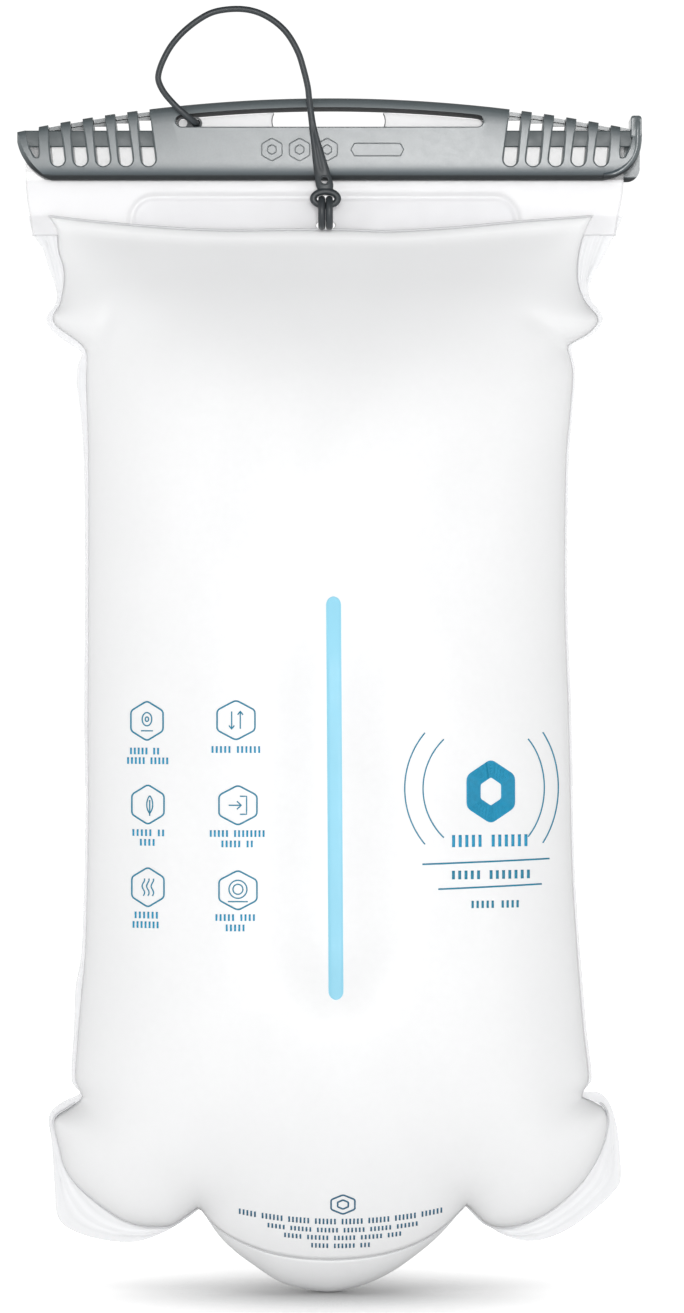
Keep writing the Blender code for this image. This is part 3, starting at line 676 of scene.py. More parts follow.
RIGHT_EDGE = [
    (89.6, -32.5, 80.4, -32.5), (87.4, -37.5, 78.6, -36.5), (85.4, -41.5, 76.8, -41.1),
    (82.9, -46.5, 75.8, -47.5), (80.2, -51.5, 76.0, -53.0), (79.0, -55.5, 77.2, -56.6),
    (80.0, -58.6, 78.8, -59.6), (82.2, -61.4, 81.2, -62.2), (83.4, -63.8, 82.2, -64.2),
    (82.2, -66.8, 80.8, -66.9), (79.2, -69.2, 77.2, -69.6), (74.4, -71.6, 72.8, -72.0),
    (73.9, -74.8, 73.4, -75.2), (74.9, -79.0, 74.3, -79.5), (74.8, -84.5, 74.2, -85.0),
    (73.9, -94.8, 73.3, -95.0), (72.9, -110.0, 72.2, -110.0), (72.6, -150.0, 71.9, -150.0),
    (73.7, -183.0, 73.0, -183.0), (74.3, -208.0, 73.6, -208.0), (74.9, -232.0, 74.2, -232.0),
    (76.5, -256.6, 75.7, -256.6), (77.5, -268.8, 76.7, -269.0), (78.5, -281.0, 77.7, -281.0),
    (80.1, -294.6, 79.2, -294.2), (79.2, -297.6, 78.3, -297.6), (77.6, -299.8, 77.0, -300.6),
    (81.5, -299.9, 80.6, -302.2), (84.3, -301.6, 83.6, -304.0), (86.4, -305.5, 85.0, -307.5),
    (87.9, -311.5, 84.5, -312.5), (88.7, -319.5, 82.3, -318.8), (88.8, -327.0, 78.4, -325.4),
    (85.6, -331.6, 74.0, -330.6), (80.4, -336.4, 69.0, -335.0), (73.8, -341.2, 63.6, -338.4),
    (67.2, -344.3, 58.0, -340.6), (61.2, -345.4, 53.6, -341.3), (55.8, -344.5, 50.0, -341.0),
    (50.2, -341.9, 46.8, -339.6), (41.6, -334.6, 41.6, -334.4),
]
TOP_LINE = [(-85.9, -32.5), (-70.0, -34.3), (-50.0, -36.0), (-32.0, -36.8), (-10.0, -36.6), (5.0, -36.7),
            (18.5, -37.1), (38.0, -36.0), (58.8, -34.1), (80.4, -32.5)]
MIDDLE_LOBE = [(-39.6, -335.0), (-34.0, -343.3), (-29.1, -348.2), (-24.0, -352.0), (-15.4, -357.6),
               (-7.5, -359.9), (1.1, -360.7), (10.5, -358.6), (19.1, -354.6), (27.1, -349.0),
               (33.7, -343.3), (41.6, -334.4)]
BAND_LINE = [(-39.6, -335.0), (-34.0, -341.0), (-24.0, -345.9), (-13.5, -348.6), (0.0, -349.6),
             (14.0, -348.6), (25.0, -345.8), (34.0, -341.2), (41.6, -334.4)]
FULLNESS = [(-32.0, 4.0), (-40.0, 7.6), (-48.0, 11.6), (-62.0, 17.6), (-85.0, 23.8), (-115.0, 27.6),
            (-160.0, 29.5), (-230.0, 30.4), (-285.0, 29.8), (-310.0, 28.6), (-330.0, 27.5), (-362.0, 27.0)]
CORNER_Z = -327.0                # rows of the panels end here at the sides
HALF_WIDTH = 74.0
SWELL = 0.42                     # how steeply the film rises from a weld
FILM_THICK = 0.45
FILM = 0.35                      # half the thickness of the two films at a weld
VALLEY_WIDTH, VALLEY_DEPTH = 17.0, 7.5
LOBE_TOP = -303.0                # the corner lobes lie below this
# folds that run in from the pinched places: points, depth, width
CREASES = [
    ([(-75.0, -73.0), (-71.5, -70.5), (-68.0, -66.0), (-66.5, -60.0)], 2.0, 2.4),
    ([(-75.0, -73.0), (-70.0, -77.0), (-66.0, -84.0)], 1.0, 3.0),
    ([(73.0, -72.0), (69.5, -69.0), (66.0, -66.5), (59.0, -63.5)], 2.0, 2.4),
    ([(73.0, -72.0), (66.0, -76.0), (60.0, -84.0)], 1.0, 3.2),
    ([(-75.8, -301.0), (-71.0, -305.0), (-68.0, -312.0)], 0.9, 2.6),
    ([(77.3, -300.5), (72.0, -303.0), (66.0, -307.0)], 1.0, 3.0),
]


class Film:
    """The swollen film's outline and depth."""

    def __init__(self):
        self.left = through([row[2:] for row in LEFT_EDGE], 1.2)
        self.right = through([row[2:] for row in RIGHT_EDGE], 1.2)
        self.top = through(TOP_LINE, 2.0)
        self.lobe = through(MIDDLE_LOBE, 1.5)
        self.band = through(BAND_LINE, 1.5)
        loop = [self.left, self.lobe[1:], self.right[::-1][1:], self.top[::-1][1:]]
        self.outline = np.vstack(loop)
        self.fullness = through(FULLNESS, 2.0)[::-1]
        self.creases = [(through(points, 1.5), depth, width) for points, depth, width in CREASES]

    def weld_distance(self, x, z):
        """A smooth distance to the welds: exact near one of them."""
        p = np.stack([x, z], axis=1)[:, None, :]
        a = self.outline[:-1][None]
        b = self.outline[1:][None]
        along = b - a
        length = np.linalg.norm(along, axis=2) + 1e-9
        unit = along / length[..., None]
        rel = p - a
        s1 = -(rel * unit).sum(axis=2)
        s2 = s1 + length
        h2 = np.square(rel[..., 0] * unit[..., 1] - rel[..., 1] * unit[..., 0]) + 1e-6
        part = (s2 / np.sqrt(h2 + s2 * s2) - s1 / np.sqrt(h2 + s1 * s1)) / h2
        return 1 / np.sqrt(0.5 * part.sum(axis=1))

    def depth(self, x, z):
        """Half the thickness of the bag at (x, z)."""
        x = np.asarray(x, dtype=float).ravel()
        z = np.asarray(z, dtype=float).ravel()
        out = np.empty_like(x)
        for i in range(0, len(x), 4000):
            block = slice(i, i + 4000)
            out[block] = self.weld_distance(x[block], z[block])
        rise = np.clip(out * math.sqrt(2) / HALF_WIDTH, 0.0, 1.0) ** SWELL
        full = np.interp(z, self.fullness[:, 0], self.fullness[:, 1])
        depth = FILM + full * rise
        near_top = 1 - smoothstep(np.interp(x, self.top[:, 0], self.top[:, 1]) - z, 0.0, 5.0)
        depth += 1.5 * near_top * (1 - rise)
        along = smoothstep(-z, 132.0, 172.0) * (1 - smoothstep(-z, 250.0, 285.0))
        depth -= VALLEY_DEPTH * along * np.exp(-(x / VALLEY_WIDTH) ** 2)
        for points, deep, width in self.creases:
            gap = np.full_like(x, 1e9)
            fade = np.zeros_like(x)
            for k, point in enumerate(points):
                d = np.hypot(x - point[0], z - point[1])
                closer = d < gap
                gap = np.where(closer, d, gap)
                fade = np.where(closer, 1 - k / len(points), fade)
            depth -= deep * fade * np.exp(-(gap / width) ** 2) * np.clip(rise * 1.8, 0, 1)
        ripple = np.sin(x * 0.11 + 1.3) * np.sin(z * 0.043 + 0.7) + 0.6 * np.sin(x * 0.23 - z * 0.06)
        depth += 0.22 * ripple * np.clip(rise, 0, 1) ** 2
        return np.maximum(depth, FILM)

    def bottom(self, x):
        """The lower weld of a panel: a corner lobe, the band, a corner lobe."""
        low_left = self.left[self.left[:, 1] < CORNER_Z - 0.01]
        low_right = self.right[self.right[:, 1] < CORNER_Z - 0.01][::-1]
        line = np.vstack([low_left, self.band[1:-1], low_right])
        order = np.argsort(line[:, 0])
        return np.interp(x, line[order, 0], line[order, 1])

    def side(self, line, z):
        return np.interp(-z, -line[:, 1], line[:, 0])


def grid_faces(rows, cols, flip=False):
    faces = []
    for i in range(rows - 1):
        for j in range(cols - 1):
            a = i * cols + j
            quad = (a, a + 1, a + cols + 1, a + cols)
            faces.append(quad[::-1] if flip else quad)
    return faces


def panel_grid(film, rows, cols):
    """Points (x, z) that fill the outline of a panel."""
    v = np.linspace(0.0, 1.0, rows)[:, None]
    v = 0.85 * v + 0.15 * (0.5 - 0.5 * np.cos(np.pi * v))
    u = np.linspace(0.0, 1.0, cols)[None]
    u = 0.45 * u + 0.55 * (0.5 - 0.5 * np.cos(np.pi * u))
    top_z = film.top[0, 1]
    side_z = top_z + (CORNER_Z - top_z) * v
    left = film.side(film.left, side_z)
    right = film.side(film.right, side_z)
    x = HALF_WIDTH * (2 * u - 1) + (left + HALF_WIDTH) * (1 - u) ** 5 + (right - HALF_WIDTH) * u ** 5
    top = np.interp(x[:1], film.top[:, 0], film.top[:, 1])
    low = film.bottom(x[-1:])
    z = side_z + (top - top_z) * (1 - v) + (low - CORNER_Z) * v
    return x, z


PORT_X, PORT_Z = 0.0, -300.0
PORT_PLANE = 26.4


def back_depth(film, x, z):
    """The back, with a flat place and a weld ring for the port."""
    depth = film.depth(x, z)
    r = np.hypot(x - PORT_X, z - PORT_Z)
    flat = 1 - smoothstep(r, 18.0, 33.0)
    depth = depth * (1 - flat) + PORT_PLANE * flat
    return depth + 0.3 * np.exp(-((r - 16.3) / 0.9) ** 2)


def make_panels(film, mat):
    rows, cols = 190, 112
    x, z = panel_grid(film, rows, cols)
    for name, node, side, depth in (("front_film", "front_panel", -1, film.depth(x, z)),
                                    ("back_film", "back_panel", 1, back_depth(film, x.ravel(), z.ravel()))):
        depth = depth.reshape(x.shape)
        depth[:, 0] = depth[:, -1] = FILM
        corner = (x[-1] < film.band[0, 0]) | (x[-1] > film.band[-1, 0])
        depth[-1, corner] = FILM
        verts = np.stack([x.ravel(), side * depth.ravel(), z.ravel()], axis=1)
        panel = add_sheet(name, verts, grid_faces(rows, cols, side < 0), mat, [node],
                          FILM_THICK)
        if side > 0:
            cut(panel, *prism_data(round_hole(PORT_X, PORT_Z, 9.3, 9.3, 48), (18.0, 34.0)))
        panel.data.shade_smooth()


def make_gusset(film, mat):
    """The base between the band lines, from front to back round the lowest edge."""
    cols, rows = 90, 15
    x = np.linspace(film.band[0, 0] + 0.5, film.band[-1, 0] - 0.5, cols)
    high = np.interp(x, film.band[:, 0], film.band[:, 1])
    low = np.interp(x, film.lobe[:, 0], film.lobe[:, 1])
    share = [math.sin(0.5 * math.pi * k / (rows - 1)) for k in range(rows - 1)]
    grid = []
    for side, t in [(-1, t) for t in share] + [(0, 1.0)] + [(1, t) for t in reversed(share)]:
        z = high + (low - high) * t
        grid.append(np.stack([x, side * film.depth(x, z), z], axis=1))
    base = add_sheet("base_film", np.vstack(grid), grid_faces(len(grid), cols, True), mat,
                     ["gusset_panel"], FILM_THICK)
    base.data.shade_smooth()


def make_flange(mat):
    """Film welded flat outside the swollen part, with raised weld lines."""
    across = np.linspace(0.0, 1.0, 15)
    for name, edge, sign in (("weld_flange_left", LEFT_EDGE, 1), ("weld_flange_right", RIGHT_EDGE, -1)):
        both = through(edge, 1.2)
        front, back = [], []
        for o, i in zip(both[:, :2], both[:, 2:]):
            width = float(np.linalg.norm(o - i))
            ridge_height = 0.3 * float(smoothstep(width, 2.0, 6.0))
            for t in across:
                p = o + (i - o) * t + (i - o) / max(width, 0.1) * (0.5 * t)
                ridges = sum(math.exp(-((t - place) / 0.04) ** 2) for place in (0.35, 0.6, 0.84))
                half = 0.3 + ridge_height * ridges
                front.append((p[0], -half, p[1]))
                back.append((p[0], half, p[1]))
        rows, cols = len(both), len(across)
        shift = rows * cols
        faces = grid_faces(rows, cols, sign > 0)
        faces += [tuple(v + shift for v in reversed(face)) for face in faces]
        rim = list(range(cols)) + [i * cols + cols - 1 for i in range(1, rows)]
        rim += [(rows - 1) * cols + j for j in range(cols - 2, -1, -1)]
        rim += [i * cols for i in range(rows - 2, 0, -1)]
        faces += [(a, b, b + shift, a + shift) for a, b in zip(rim, rim[1:] + rim[:1])]
        add_mesh(name, front + back, faces, mat, "bladder", smooth=60)


def make_weld_lines(film, mat):
    """Thin beads on the film: base, foot of the skirt, corner lobes, the rail on the back."""
    half, top, foot = 3.4, STRIP_HIGH[2] - 2.0, STRIP_LOW[2] + 2.0
    rail = np.array(arc(STRIP_TOP_X, top, half, half, 0, 180, 16)
                    + [(STRIP_TOP_X - half, top + (foot - top) * k / 40) for k in range(1, 40)]
                    + arc(STRIP_TOP_X, foot, half, half, 180, 360, 16)
                    + [(STRIP_TOP_X + half, foot + (top - foot) * k / 40) for k in range(1, 41)])
    lobes = [line[line[:, 1] < LOBE_TOP] for line in (film.left, film.right)]
    both = (-1, 1)
    lines = [(film.band, 0.0, 0.18, both), (film.top + np.array([0.0, -0.2]), 0.1, 0.26, both),
             (rail, 0.0, 0.3, (1,))] + [(lobe, 0.45, 0.32, both) for lobe in lobes]
    parts = []
    for line, lift, radius, sides in lines:
        depth = film.depth(line[:, 0], line[:, 1])
        for side in sides:
            path = [(px, side * (d + lift), pz) for (px, pz), d in zip(line, depth)]
            parts.append(tube_data(path, radius, 8, side_axis=(0, 0, 1)))
    verts, faces = join_data(parts)
    add_mesh("weld_beads", verts, faces, mat, "bladder")


# ---- mouth
def skirt_relief(x, z):
    """The stiffener pressed into the skirt: a rounded plate with a soft rim."""
    left, right = -60.6, 57.2
    top, r = -26.8, 7.2
    qx = np.maximum(np.maximum(left + r - x, x - right + r), 0.0)
    qz = np.maximum(z - top + r, 0.0)
    gap = np.hypot(qx, qz) - r
    inside = np.maximum(np.maximum(left - x, x - right), z - top)
    edge = np.where((qx > 0) & (qz > 0), gap, inside)
    bead = np.exp(-(edge / 0.75) ** 2)
    return 0.1 * (1 - smoothstep(edge, -1.6, 0.0)) + 0.6 * bead


CLIP_FOOT = -21.5                # the film above this is inside the clip
MOUTH_Z, SKIRT_DEEP = -8.0, 30.6
SKIRT_THICK = 0.3


def pierce(obj):
    """The two holes that the tether's loop goes through."""
    for z in (LOOP_ROUTE[0][1], LOOP_ROUTE[9][1]):
        cut(obj, *prism_data(round_hole(-1.2, z, 2.9, 1.6, 32), (-4.0, 4.0)))


def make_skirts(clear, folded):
    cols, rows = 260, 46
    left, right = SKIRT_LOW[0], SKIRT_HIGH[0]
    for name, side, node in (("skirt_front", -1, "front_skirt"), ("skirt_back", 1, "back_skirt")):
        grid = []
        for z in np.linspace(MOUTH_Z, MOUTH_Z - SKIRT_DEEP, rows):
            pull = float(smoothstep(-z, 22.0, 40.0))
            x = np.linspace(left + 2.0 * pull, right - 2.4 * pull, cols)
            depth = 1.0 + skirt_relief(x, np.full_like(x, z)) * (1 if side < 0 else 0.6)
            depth += 0.05 * np.sin(x * 0.16 + z * 0.2)
            grid.append(np.stack([x, side * depth, np.full_like(x, z)], axis=1))
        skirt = add_sheet(name, np.vstack(grid), grid_faces(rows, cols, side < 0), clear,
                          [node], SKIRT_THICK)
        pierce(skirt)
        skirt.data.shade_smooth()
        # painted light: faces inside the clip take a lighter, more see-through copy of the clear film, to
        # offset the clip's shade
        skirt.data.materials.append(folded)
        for face in skirt.data.polygons:
            face.material_index = int(face.center.z > CLIP_FOOT * MM)
    make_fold(folded, left, right)


def make_fold(mat, left, right):
    """The front skirt's end: over the top of the mouth and down behind the rail."""
    over = [(-1.75 - 0.8 * math.cos(a), MOUTH_Z + 0.7 * math.sin(a)) for a in np.linspace(math.pi, 0, 9)]
    fold = [(-1.0, -9.0), (-0.95, MOUTH_Z)] + over + [(-2.55, MOUTH_Z), (-2.6, -12.0), (-2.55, -19.2)]
    path = through(fold, 0.6)
    x = np.linspace(left, right, 60)
    verts = [(px, y, z) for y, z in path for px in x]
    leg = add_sheet("mouth_fold", verts, grid_faces(len(path), len(x)), mat, (),
                    SKIRT_THICK, 0.0)
    leg.data.shade_smooth()


def make_plate(mat):
    """The stiffener between the skirts."""
    foot = -38.0
    plate = [(PLATE_LOW[0] + 0.6, foot)] + arc(-54.0, -33.2, 5.6, 6.0, 180, 90, 12)
    plate += arc(51.6, -33.2, 5.6, 6.0, 90, 0, 12) + [(PLATE_HIGH[0] - 0.6, foot)]
    verts, faces = prism_data(plate, (-0.3, 0.3))
    pierce(add_mesh("stiffener_plate", verts, faces, mat, "bladder", ["skirt_stiffener"]))


def make_tab(mat, painted_edge_shade_mat):
    """The hang tab's two ears, seen in the handle's window, with painted shade lines along the notches."""
    r, half, notch_z, inner = 4.65, 48.0, -3.4, 20
    left_x, right_x = -13.0, 12.4
    left_top, right_top = [[(x, clip_top(x) - ARCH_THICK - 0.7) for x in np.linspace(start, end, 10)]
                           for start, end in ((-half, -inner), (inner, half))]
    outline = [(-half, -19.0)] + left_top + arc(left_x, notch_z, r, r, 145, 270, 30)
    outline += arc(right_x, notch_z, r, r, -90, 35, 30) + right_top + [(half, -19.0)]
    verts, faces = prism_data(outline, (1.55, 1.75, 1.95, 2.15))
    tab = add_mesh("hang_tab_film", verts, faces, mat, "bladder", ["hang_tab"], 40)
    # painted shade: near-black lines along the notches stand for the dark look of the clear film's cut
    # edges
    rims = [arc(left_x, notch_z, r, r, 150, 262, 30), arc(right_x, notch_z, r, r, -82, 30, 30)]
    verts, faces = join_data([tube_data([(x, 1.8, z) for x, z in rim], 0.2, 8, side_axis=(0, 1, 0))
                              for rim in rims])
    add_mesh("hang_tab_edge", verts, faces, painted_edge_shade_mat, "bladder")


def make_rail(mat):
    """The stiff strip along the mouth, with eased edges and a shallow lip."""
    ease = 0.35
    (y0, z0), (y1, z1) = RAIL_LOW[1:], RAIL_HIGH[1:]
    ring = [(y - 0.12 * math.exp(-((z - z1 + 0.9) / 0.35) ** 2) * (y < y0 + ease), z)
            for y, z in rounded_box(y0, y1, z0, z1, ease, 5)]
    verts, faces = loft_data([[(x, y, z) for y, z in ring] for x in (RAIL_LOW[0], RAIL_HIGH[0])])
    add_mesh("mouth_strip", verts, faces, mat, "bladder", ["mouth_rail"], 40)


# ---- baffle strip
STRIP_WIDTH = 5.2
STRIP_TOP_X, STRIP_DRIFT = 1.25, 0.75    # the strip leans a little to the right


def make_strip(film, mat):
    """The baffle's rail, a low rounded bar in the valley of the film."""
    half, cols = STRIP_WIDTH / 2, 15
    top, foot = STRIP_HIGH[2], STRIP_LOW[2]
    rows = np.concatenate([top - half + half * np.sin(np.linspace(math.pi / 2, 0, 12)),
                           np.linspace(top - half, foot + half, 90)[1:-1],
                           foot + half - half * np.sin(np.linspace(0, math.pi / 2, 12))])
    across = np.sin(np.linspace(-math.pi / 2, math.pi / 2, cols))
    verts = []
    for z in rows:
        over = max(0.0, z - (top - half), (foot + half) - z)
        reach = math.sqrt(max(0.02, half ** 2 - over ** 2))
        x = STRIP_TOP_X + STRIP_DRIFT * (top - z) / (top - foot) + reach * across
        depth = film.depth(x, np.full_like(x, z)) + 0.6 * (1 - np.abs(across) ** 4) - 0.25
        verts += [(px, -d, z) for px, d in zip(x, depth)]
    strip = add_sheet("baffle_strip", verts, grid_faces(len(rows), cols, True), mat,
                      ["baffle_rail_front"], 0.8)
    strip.data.shade_smooth()


# ---- springs in the port
def make_spring(name, node, mat, start, axis, radius, length, wire):
    """A compression spring: a wire wound four times round an axis."""
    along = Vector(axis)
    side = Vector((1, 0, 0))
    up = along.cross(side)
    turns, steps = 4, 30
    path = []
    for i in range(turns * steps + 1):
        a = 2 * math.pi * i / steps
        rise = wire / 2 + (length - wire) * i / (turns * steps)
        path.append(Vector(start) + along * rise + (side * math.cos(a) + up * math.sin(a)) * radius)
    verts, faces = tube_data(path, wire / 2, 10, side_axis=axis)
    spring = add_mesh(name, verts, faces, mat, "bladder", [node], 60)
    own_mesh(spring)


# ---- prints
INK_STEP, INK_LIFT = 1.2, 0.1    # longest piece of a stroke; how far the ink stands off


class Print:
    """Ink strokes drawn in (x, z) and laid on the film."""

    def __init__(self):
        self.verts = []
        self.faces = []

    def stroke(self, points, width, closed=False):
        pts = [np.array(p, dtype=float) for p in points]
        if closed:
            pts.append(pts[0])
        fine = [pts[0]]
        for a, b in zip(pts, pts[1:]):
            steps = max(1, math.ceil(float(np.linalg.norm(b - a)) / INK_STEP))
            fine += [a + (b - a) * k / steps for k in range(1, steps + 1)]
        shift = len(self.verts)
        for i, here in enumerate(fine):
            before = fine[i - 1] if i else (fine[-2] if closed else here)
            after = fine[i + 1] if i + 1 < len(fine) else (fine[1] if closed else here)
            along = after - before
            along = along / max(np.linalg.norm(along), 1e-9)
            normal = np.array([-along[1], along[0]]) * width / 2
            self.verts += [tuple(here + normal), tuple(here - normal)]
        self.faces += [(a, a + 1, a + 3, a + 2) for a in range(shift, shift + 2 * len(fine) - 2, 2)]

    def words(self, x0, x1, z, height, line=None, unit=1.25):
        """A row of short upright dashes that stands for a line of small print."""
        count = max(1, round((x1 - x0) / unit))
        for k in range(count):
            if k % 7 == 5 and k < count - 2:
                continue
            x = x0 + (x1 - x0) * (k + 0.5) / count
            base = line(x) if line else z
            self.stroke([(x, base - height / 2), (x, base + height / 2)], unit * 0.46)

    def lay(self, film, name, mat):
        flat = np.array(self.verts)
        depth = film.depth(flat[:, 0], flat[:, 1]) + INK_LIFT
        verts = np.stack([flat[:, 0], -depth, flat[:, 1]], axis=1)
        faces = [face if clockwise(flat[list(face)]) else face[::-1] for face in self.faces]
        add_sheet(name, verts, faces, mat, (), 0.06)


def clockwise(corners):
    """Whether a face, seen from the front, turns the way that makes it face back."""
    x, z = corners[:, 0], corners[:, 1]
    return (x * np.roll(z, -1) - z * np.roll(x, -1)).sum() > 0


def hexagon(cx, cz, half_x, half_z, radius=0.16):
    """A hexagon standing on a corner, with eased corners."""
    corners = [np.array([cx + half_x * sx, cz + half_z * sz]) for sx, sz in
               ((0, 1), (1, 0.5), (1, -0.5), (0, -1), (-1, -0.5), (-1, 0.5))]
    points = []
    for before, here, after in zip(corners[-1:] + corners, corners, corners[1:] + corners[:1]):
        a = here + (before - here) * radius
        b = here + (after - here) * radius
        points += [(1 - t) ** 2 * a + 2 * t * (1 - t) * here + t * t * b for t in (0, 0.25, 0.5, 0.75, 1)]
    return points


def glyph(kind, w):
    """The strokes of a sign of the builder's own, about (0, 0) and w times as wide as usual."""
    if kind == "seal":
        strokes = [arc(0, 0.5, 1.7, 2.0, 0, 360, 24), arc(0, 0.5, 0.6, 0.7, 0, 360, 12),
                   [(-2.1, -3.0), (2.1, -3.0)]]
    elif kind == "turn":
        strokes = []
        for s in (-1, 1):
            strokes += [[(1.3 * s, -2.6 * s), (1.3 * s, 2.6 * s)],
                        [(0.5 * s, 1.6 * s), (1.3 * s, 2.7 * s), (2.1 * s, 1.6 * s)]]
    elif kind == "leaf":
        strokes = [arc(-2.3, 0, 4.0, 4.0, -42, 42, 12), arc(3.6, 0, 4.0, 4.0, 138, 222, 12),
                   [(0.65, -3.4), (0.65, 1.4)]]
    elif kind == "push":
        strokes = [[(0.6, 2.7), (2.6, 2.7), (2.6, -2.7), (0.6, -2.7)], [(-2.8, 0), (1.0, 0)],
                   [(-0.3, 1.2), (1.0, 0), (-0.3, -1.2)]]
    elif kind == "heat":
        strokes = [[(s + 0.45 * math.sin(k * 0.7), -2.6 + 5.2 * k / 12) for k in range(13)]
                   for s in (-1.6, 0.0, 1.6)]
    else:
        strokes = [arc(0, 0.3, 2.7, 2.7, 0, 360, 28), arc(0, 0.3, 1.5, 1.5, 0, 360, 20),
                   [(-3.0, -3.4), (3.0, -3.4)]]
    return [[(x * w, z) for x, z in stroke] for stroke in strokes]


ICONS = [  # sign, x, z, half width, then rows of small print: x from, x to, z
    ("seal", -55.0, -186.4, 4.93, [(-60.5, -51.0, -195.5), (-61.4, -48.2, -198.4)]),
    ("turn", -28.0, -186.1, 5.7, [(-35.7, -20.4, -194.9)]),
    ("leaf", -54.7, -211.6, 4.93, [(-59.8, -49.4, -220.1), (-57.5, -52.3, -223.0)]),
    ("push", -27.4, -211.6, 5.7, [(-36.2, -19.1, -220.1), (-32.7, -22.6, -223.2)]),
    ("heat", -54.7, -236.5, 4.93, [(-59.1, -51.3, -244.9), (-59.7, -51.1, -247.8)]),
    ("tray", -27.4, -237.1, 5.7, [(-34.5, -22.0, -245.3), (-31.4, -25.1, -248.4)]),
]
ICON_HALF_HEIGHT = 6.0


def make_prints(film, ink, fine_ink, dark_ink):
    icons = Print()
    captions = Print()
    for kind, cx, cz, half, rows in ICONS:
        icons.stroke(hexagon(cx, cz, half, ICON_HALF_HEIGHT), 0.48, closed=True)
        for line in glyph(kind, half / 5.7):
            icons.stroke([(cx + x, cz + z) for x, z in line], 0.38)
        for x0, x1, z in rows:
            captions.words(x0, x1, z, 2.0)
    icons.lay(film, "print_signs", fine_ink)
    captions.lay(film, "print_captions", ink)

    badge = Print()
    cx, cz = 48.6, -207.6
    for k in range(11):
        t = k / 10
        badge.stroke(hexagon(cx, cz, 3.4 + 3.7 * t, 4.6 + 4.8 * t), 0.6, closed=True)
    badge.words(36.3, 60.3, -222.4, 3.6, unit=2.0)
    badge.lay(film, "print_badge", ink)

    lines = Print()
    lines.stroke([(27.9, -229.3), (66.6, -228.1)], 0.5)
    lines.stroke([(32.7, -236.8), (64.2, -235.7)], 0.5)
    for radius, spread in ((20.5, 46), (26.0, 40)):
        lines.stroke(arc(cx, cz + 1.0, radius, radius, 180 - spread, 180 + spread, 40), 0.4)
        lines.stroke(arc(cx, cz + 1.0, radius * 0.8, radius, -spread, spread, 40), 0.4)
    lines.words(36.3, 61.0, -232.6, 2.6, unit=1.9)
    lines.words(42.3, 57.5, -241.5, 2.2, unit=1.5)
    lines.lay(film, "print_lines", fine_ink)

    foot = Print()
    foot.stroke(hexagon(4.1, -332.2, 3.6, 3.0), 0.5, closed=True)
    foot.stroke(hexagon(4.1, -332.2, 1.6, 1.4), 0.5, closed=True)
    for x0, x1, z, height in ((-27.7, 34.5, -337.5, 1.7), (-19.0, 27.0, -340.2, 1.4),
                              (-14.0, 22.0, -342.6, 1.4), (-5.8, 12.5, -345.1, 1.4)):
        foot.words(x0, x1, z, height, line=lambda x, base=z: base + 0.0029 * (x - 3.4) ** 2, unit=1.15)
    foot.lay(film, "print_foot", dark_ink)


# ---- clip badge
def make_clip_badge(mat):
    """Three small hexagons and a bar, raised on the face of the clip."""
    line = 0.32
    drawing = Print()
    for i in range(3):
        for half_x, half_z in ((3.1, 3.5), (1.3, 1.5)):
            drawing.stroke(hexagon(-17.5 + 8.4 * i, -12.9, half_x, half_z), line, closed=True)
    bar = [(7.6, -11.0), (21.5, -11.0), (22.6, -12.9), (21.5, -14.8), (7.6, -14.8), (6.5, -12.9)]
    drawing.stroke(bar, line, closed=True)
    verts = [(x, CLIP_LOW[1] - 0.12, z) for x, z in drawing.verts]
    add_sheet("clip_badge", verts, drawing.faces, mat, (), 0.4, 0.0, "clip")


# ---- light and floor
DOME_LIGHT, SIDE_LIGHT, BACK_LIGHT = 0.14, 0.66, 1.4
LEFT_SHARE, RIGHT_SHARE = 1.1, 0.88
SEEN_WHITE = 1.05


def make_world():
    """White all round at the height of the object, darker above and below."""
    world = bpy.data.worlds.new("studio")
    bpy.context.scene.world = world
    world.use_nodes = True
    world.node_tree.nodes.clear()
    n = Nodes(world.node_tree)
    place = n.node("ShaderNodeTexCoord").outputs["Generated"]
    level = n.span(n.math("ABSOLUTE", n.apart(place, 2), 0.0), 0.25, 0.75, 1.0, 0.0, smooth=True)
    behind = n.span(n.apart(place, 1), -0.65, 0.05, SIDE_LIGHT, BACK_LIGHT, smooth=True)
    glow = n.math("ADD", n.math("MULTIPLY", level, behind), DOME_LIGHT)
    sideways = n.span(n.apart(place, 0), -1.0, 1.0, LEFT_SHARE, RIGHT_SHARE, smooth=True)
    lit, plain = n.node("ShaderNodeBackground"), n.node("ShaderNodeBackground")
    for background in (lit, plain):
        background.inputs["Color"].default_value = (1, 1, 1, 1)
    n.link(n.math("MULTIPLY", glow, sideways), lit.inputs["Strength"])
    plain.inputs["Strength"].default_value = SEEN_WHITE
    mix = n.node("ShaderNodeMixShader")
    n.link(n.node("ShaderNodeLightPath").outputs["Is Camera Ray"], mix.inputs[0])
    n.link(lit.outputs[0], mix.inputs[1])
    n.link(plain.outputs[0], mix.inputs[2])
    n.link(mix.outputs[0], n.node("ShaderNodeOutputWorld").inputs[0])


FRONT_POWER = 17.0


def make_softbox():
    """The one lamp: a tall soft light in front, a little to the right of the camera."""
    data = bpy.data.lights.new("front_softbox", "AREA")
    data.shape = "RECTANGLE"
    data.size, data.size_y = 0.3, 0.8
    data.energy = FRONT_POWER
    obj = bpy.data.objects.new("front_softbox", data)
    bpy.context.collection.objects.link(obj)
    obj.location = (0.08, -1.75, -0.03)
    aim = Vector((0.0038, 0, -0.15)) - obj.location
    obj.rotation_euler = aim.to_track_quat("-Z", "Y").to_euler()
    obj.visible_camera = False


SHADOW_REACH = 0.13              # how far the soft shadow under the bag reaches


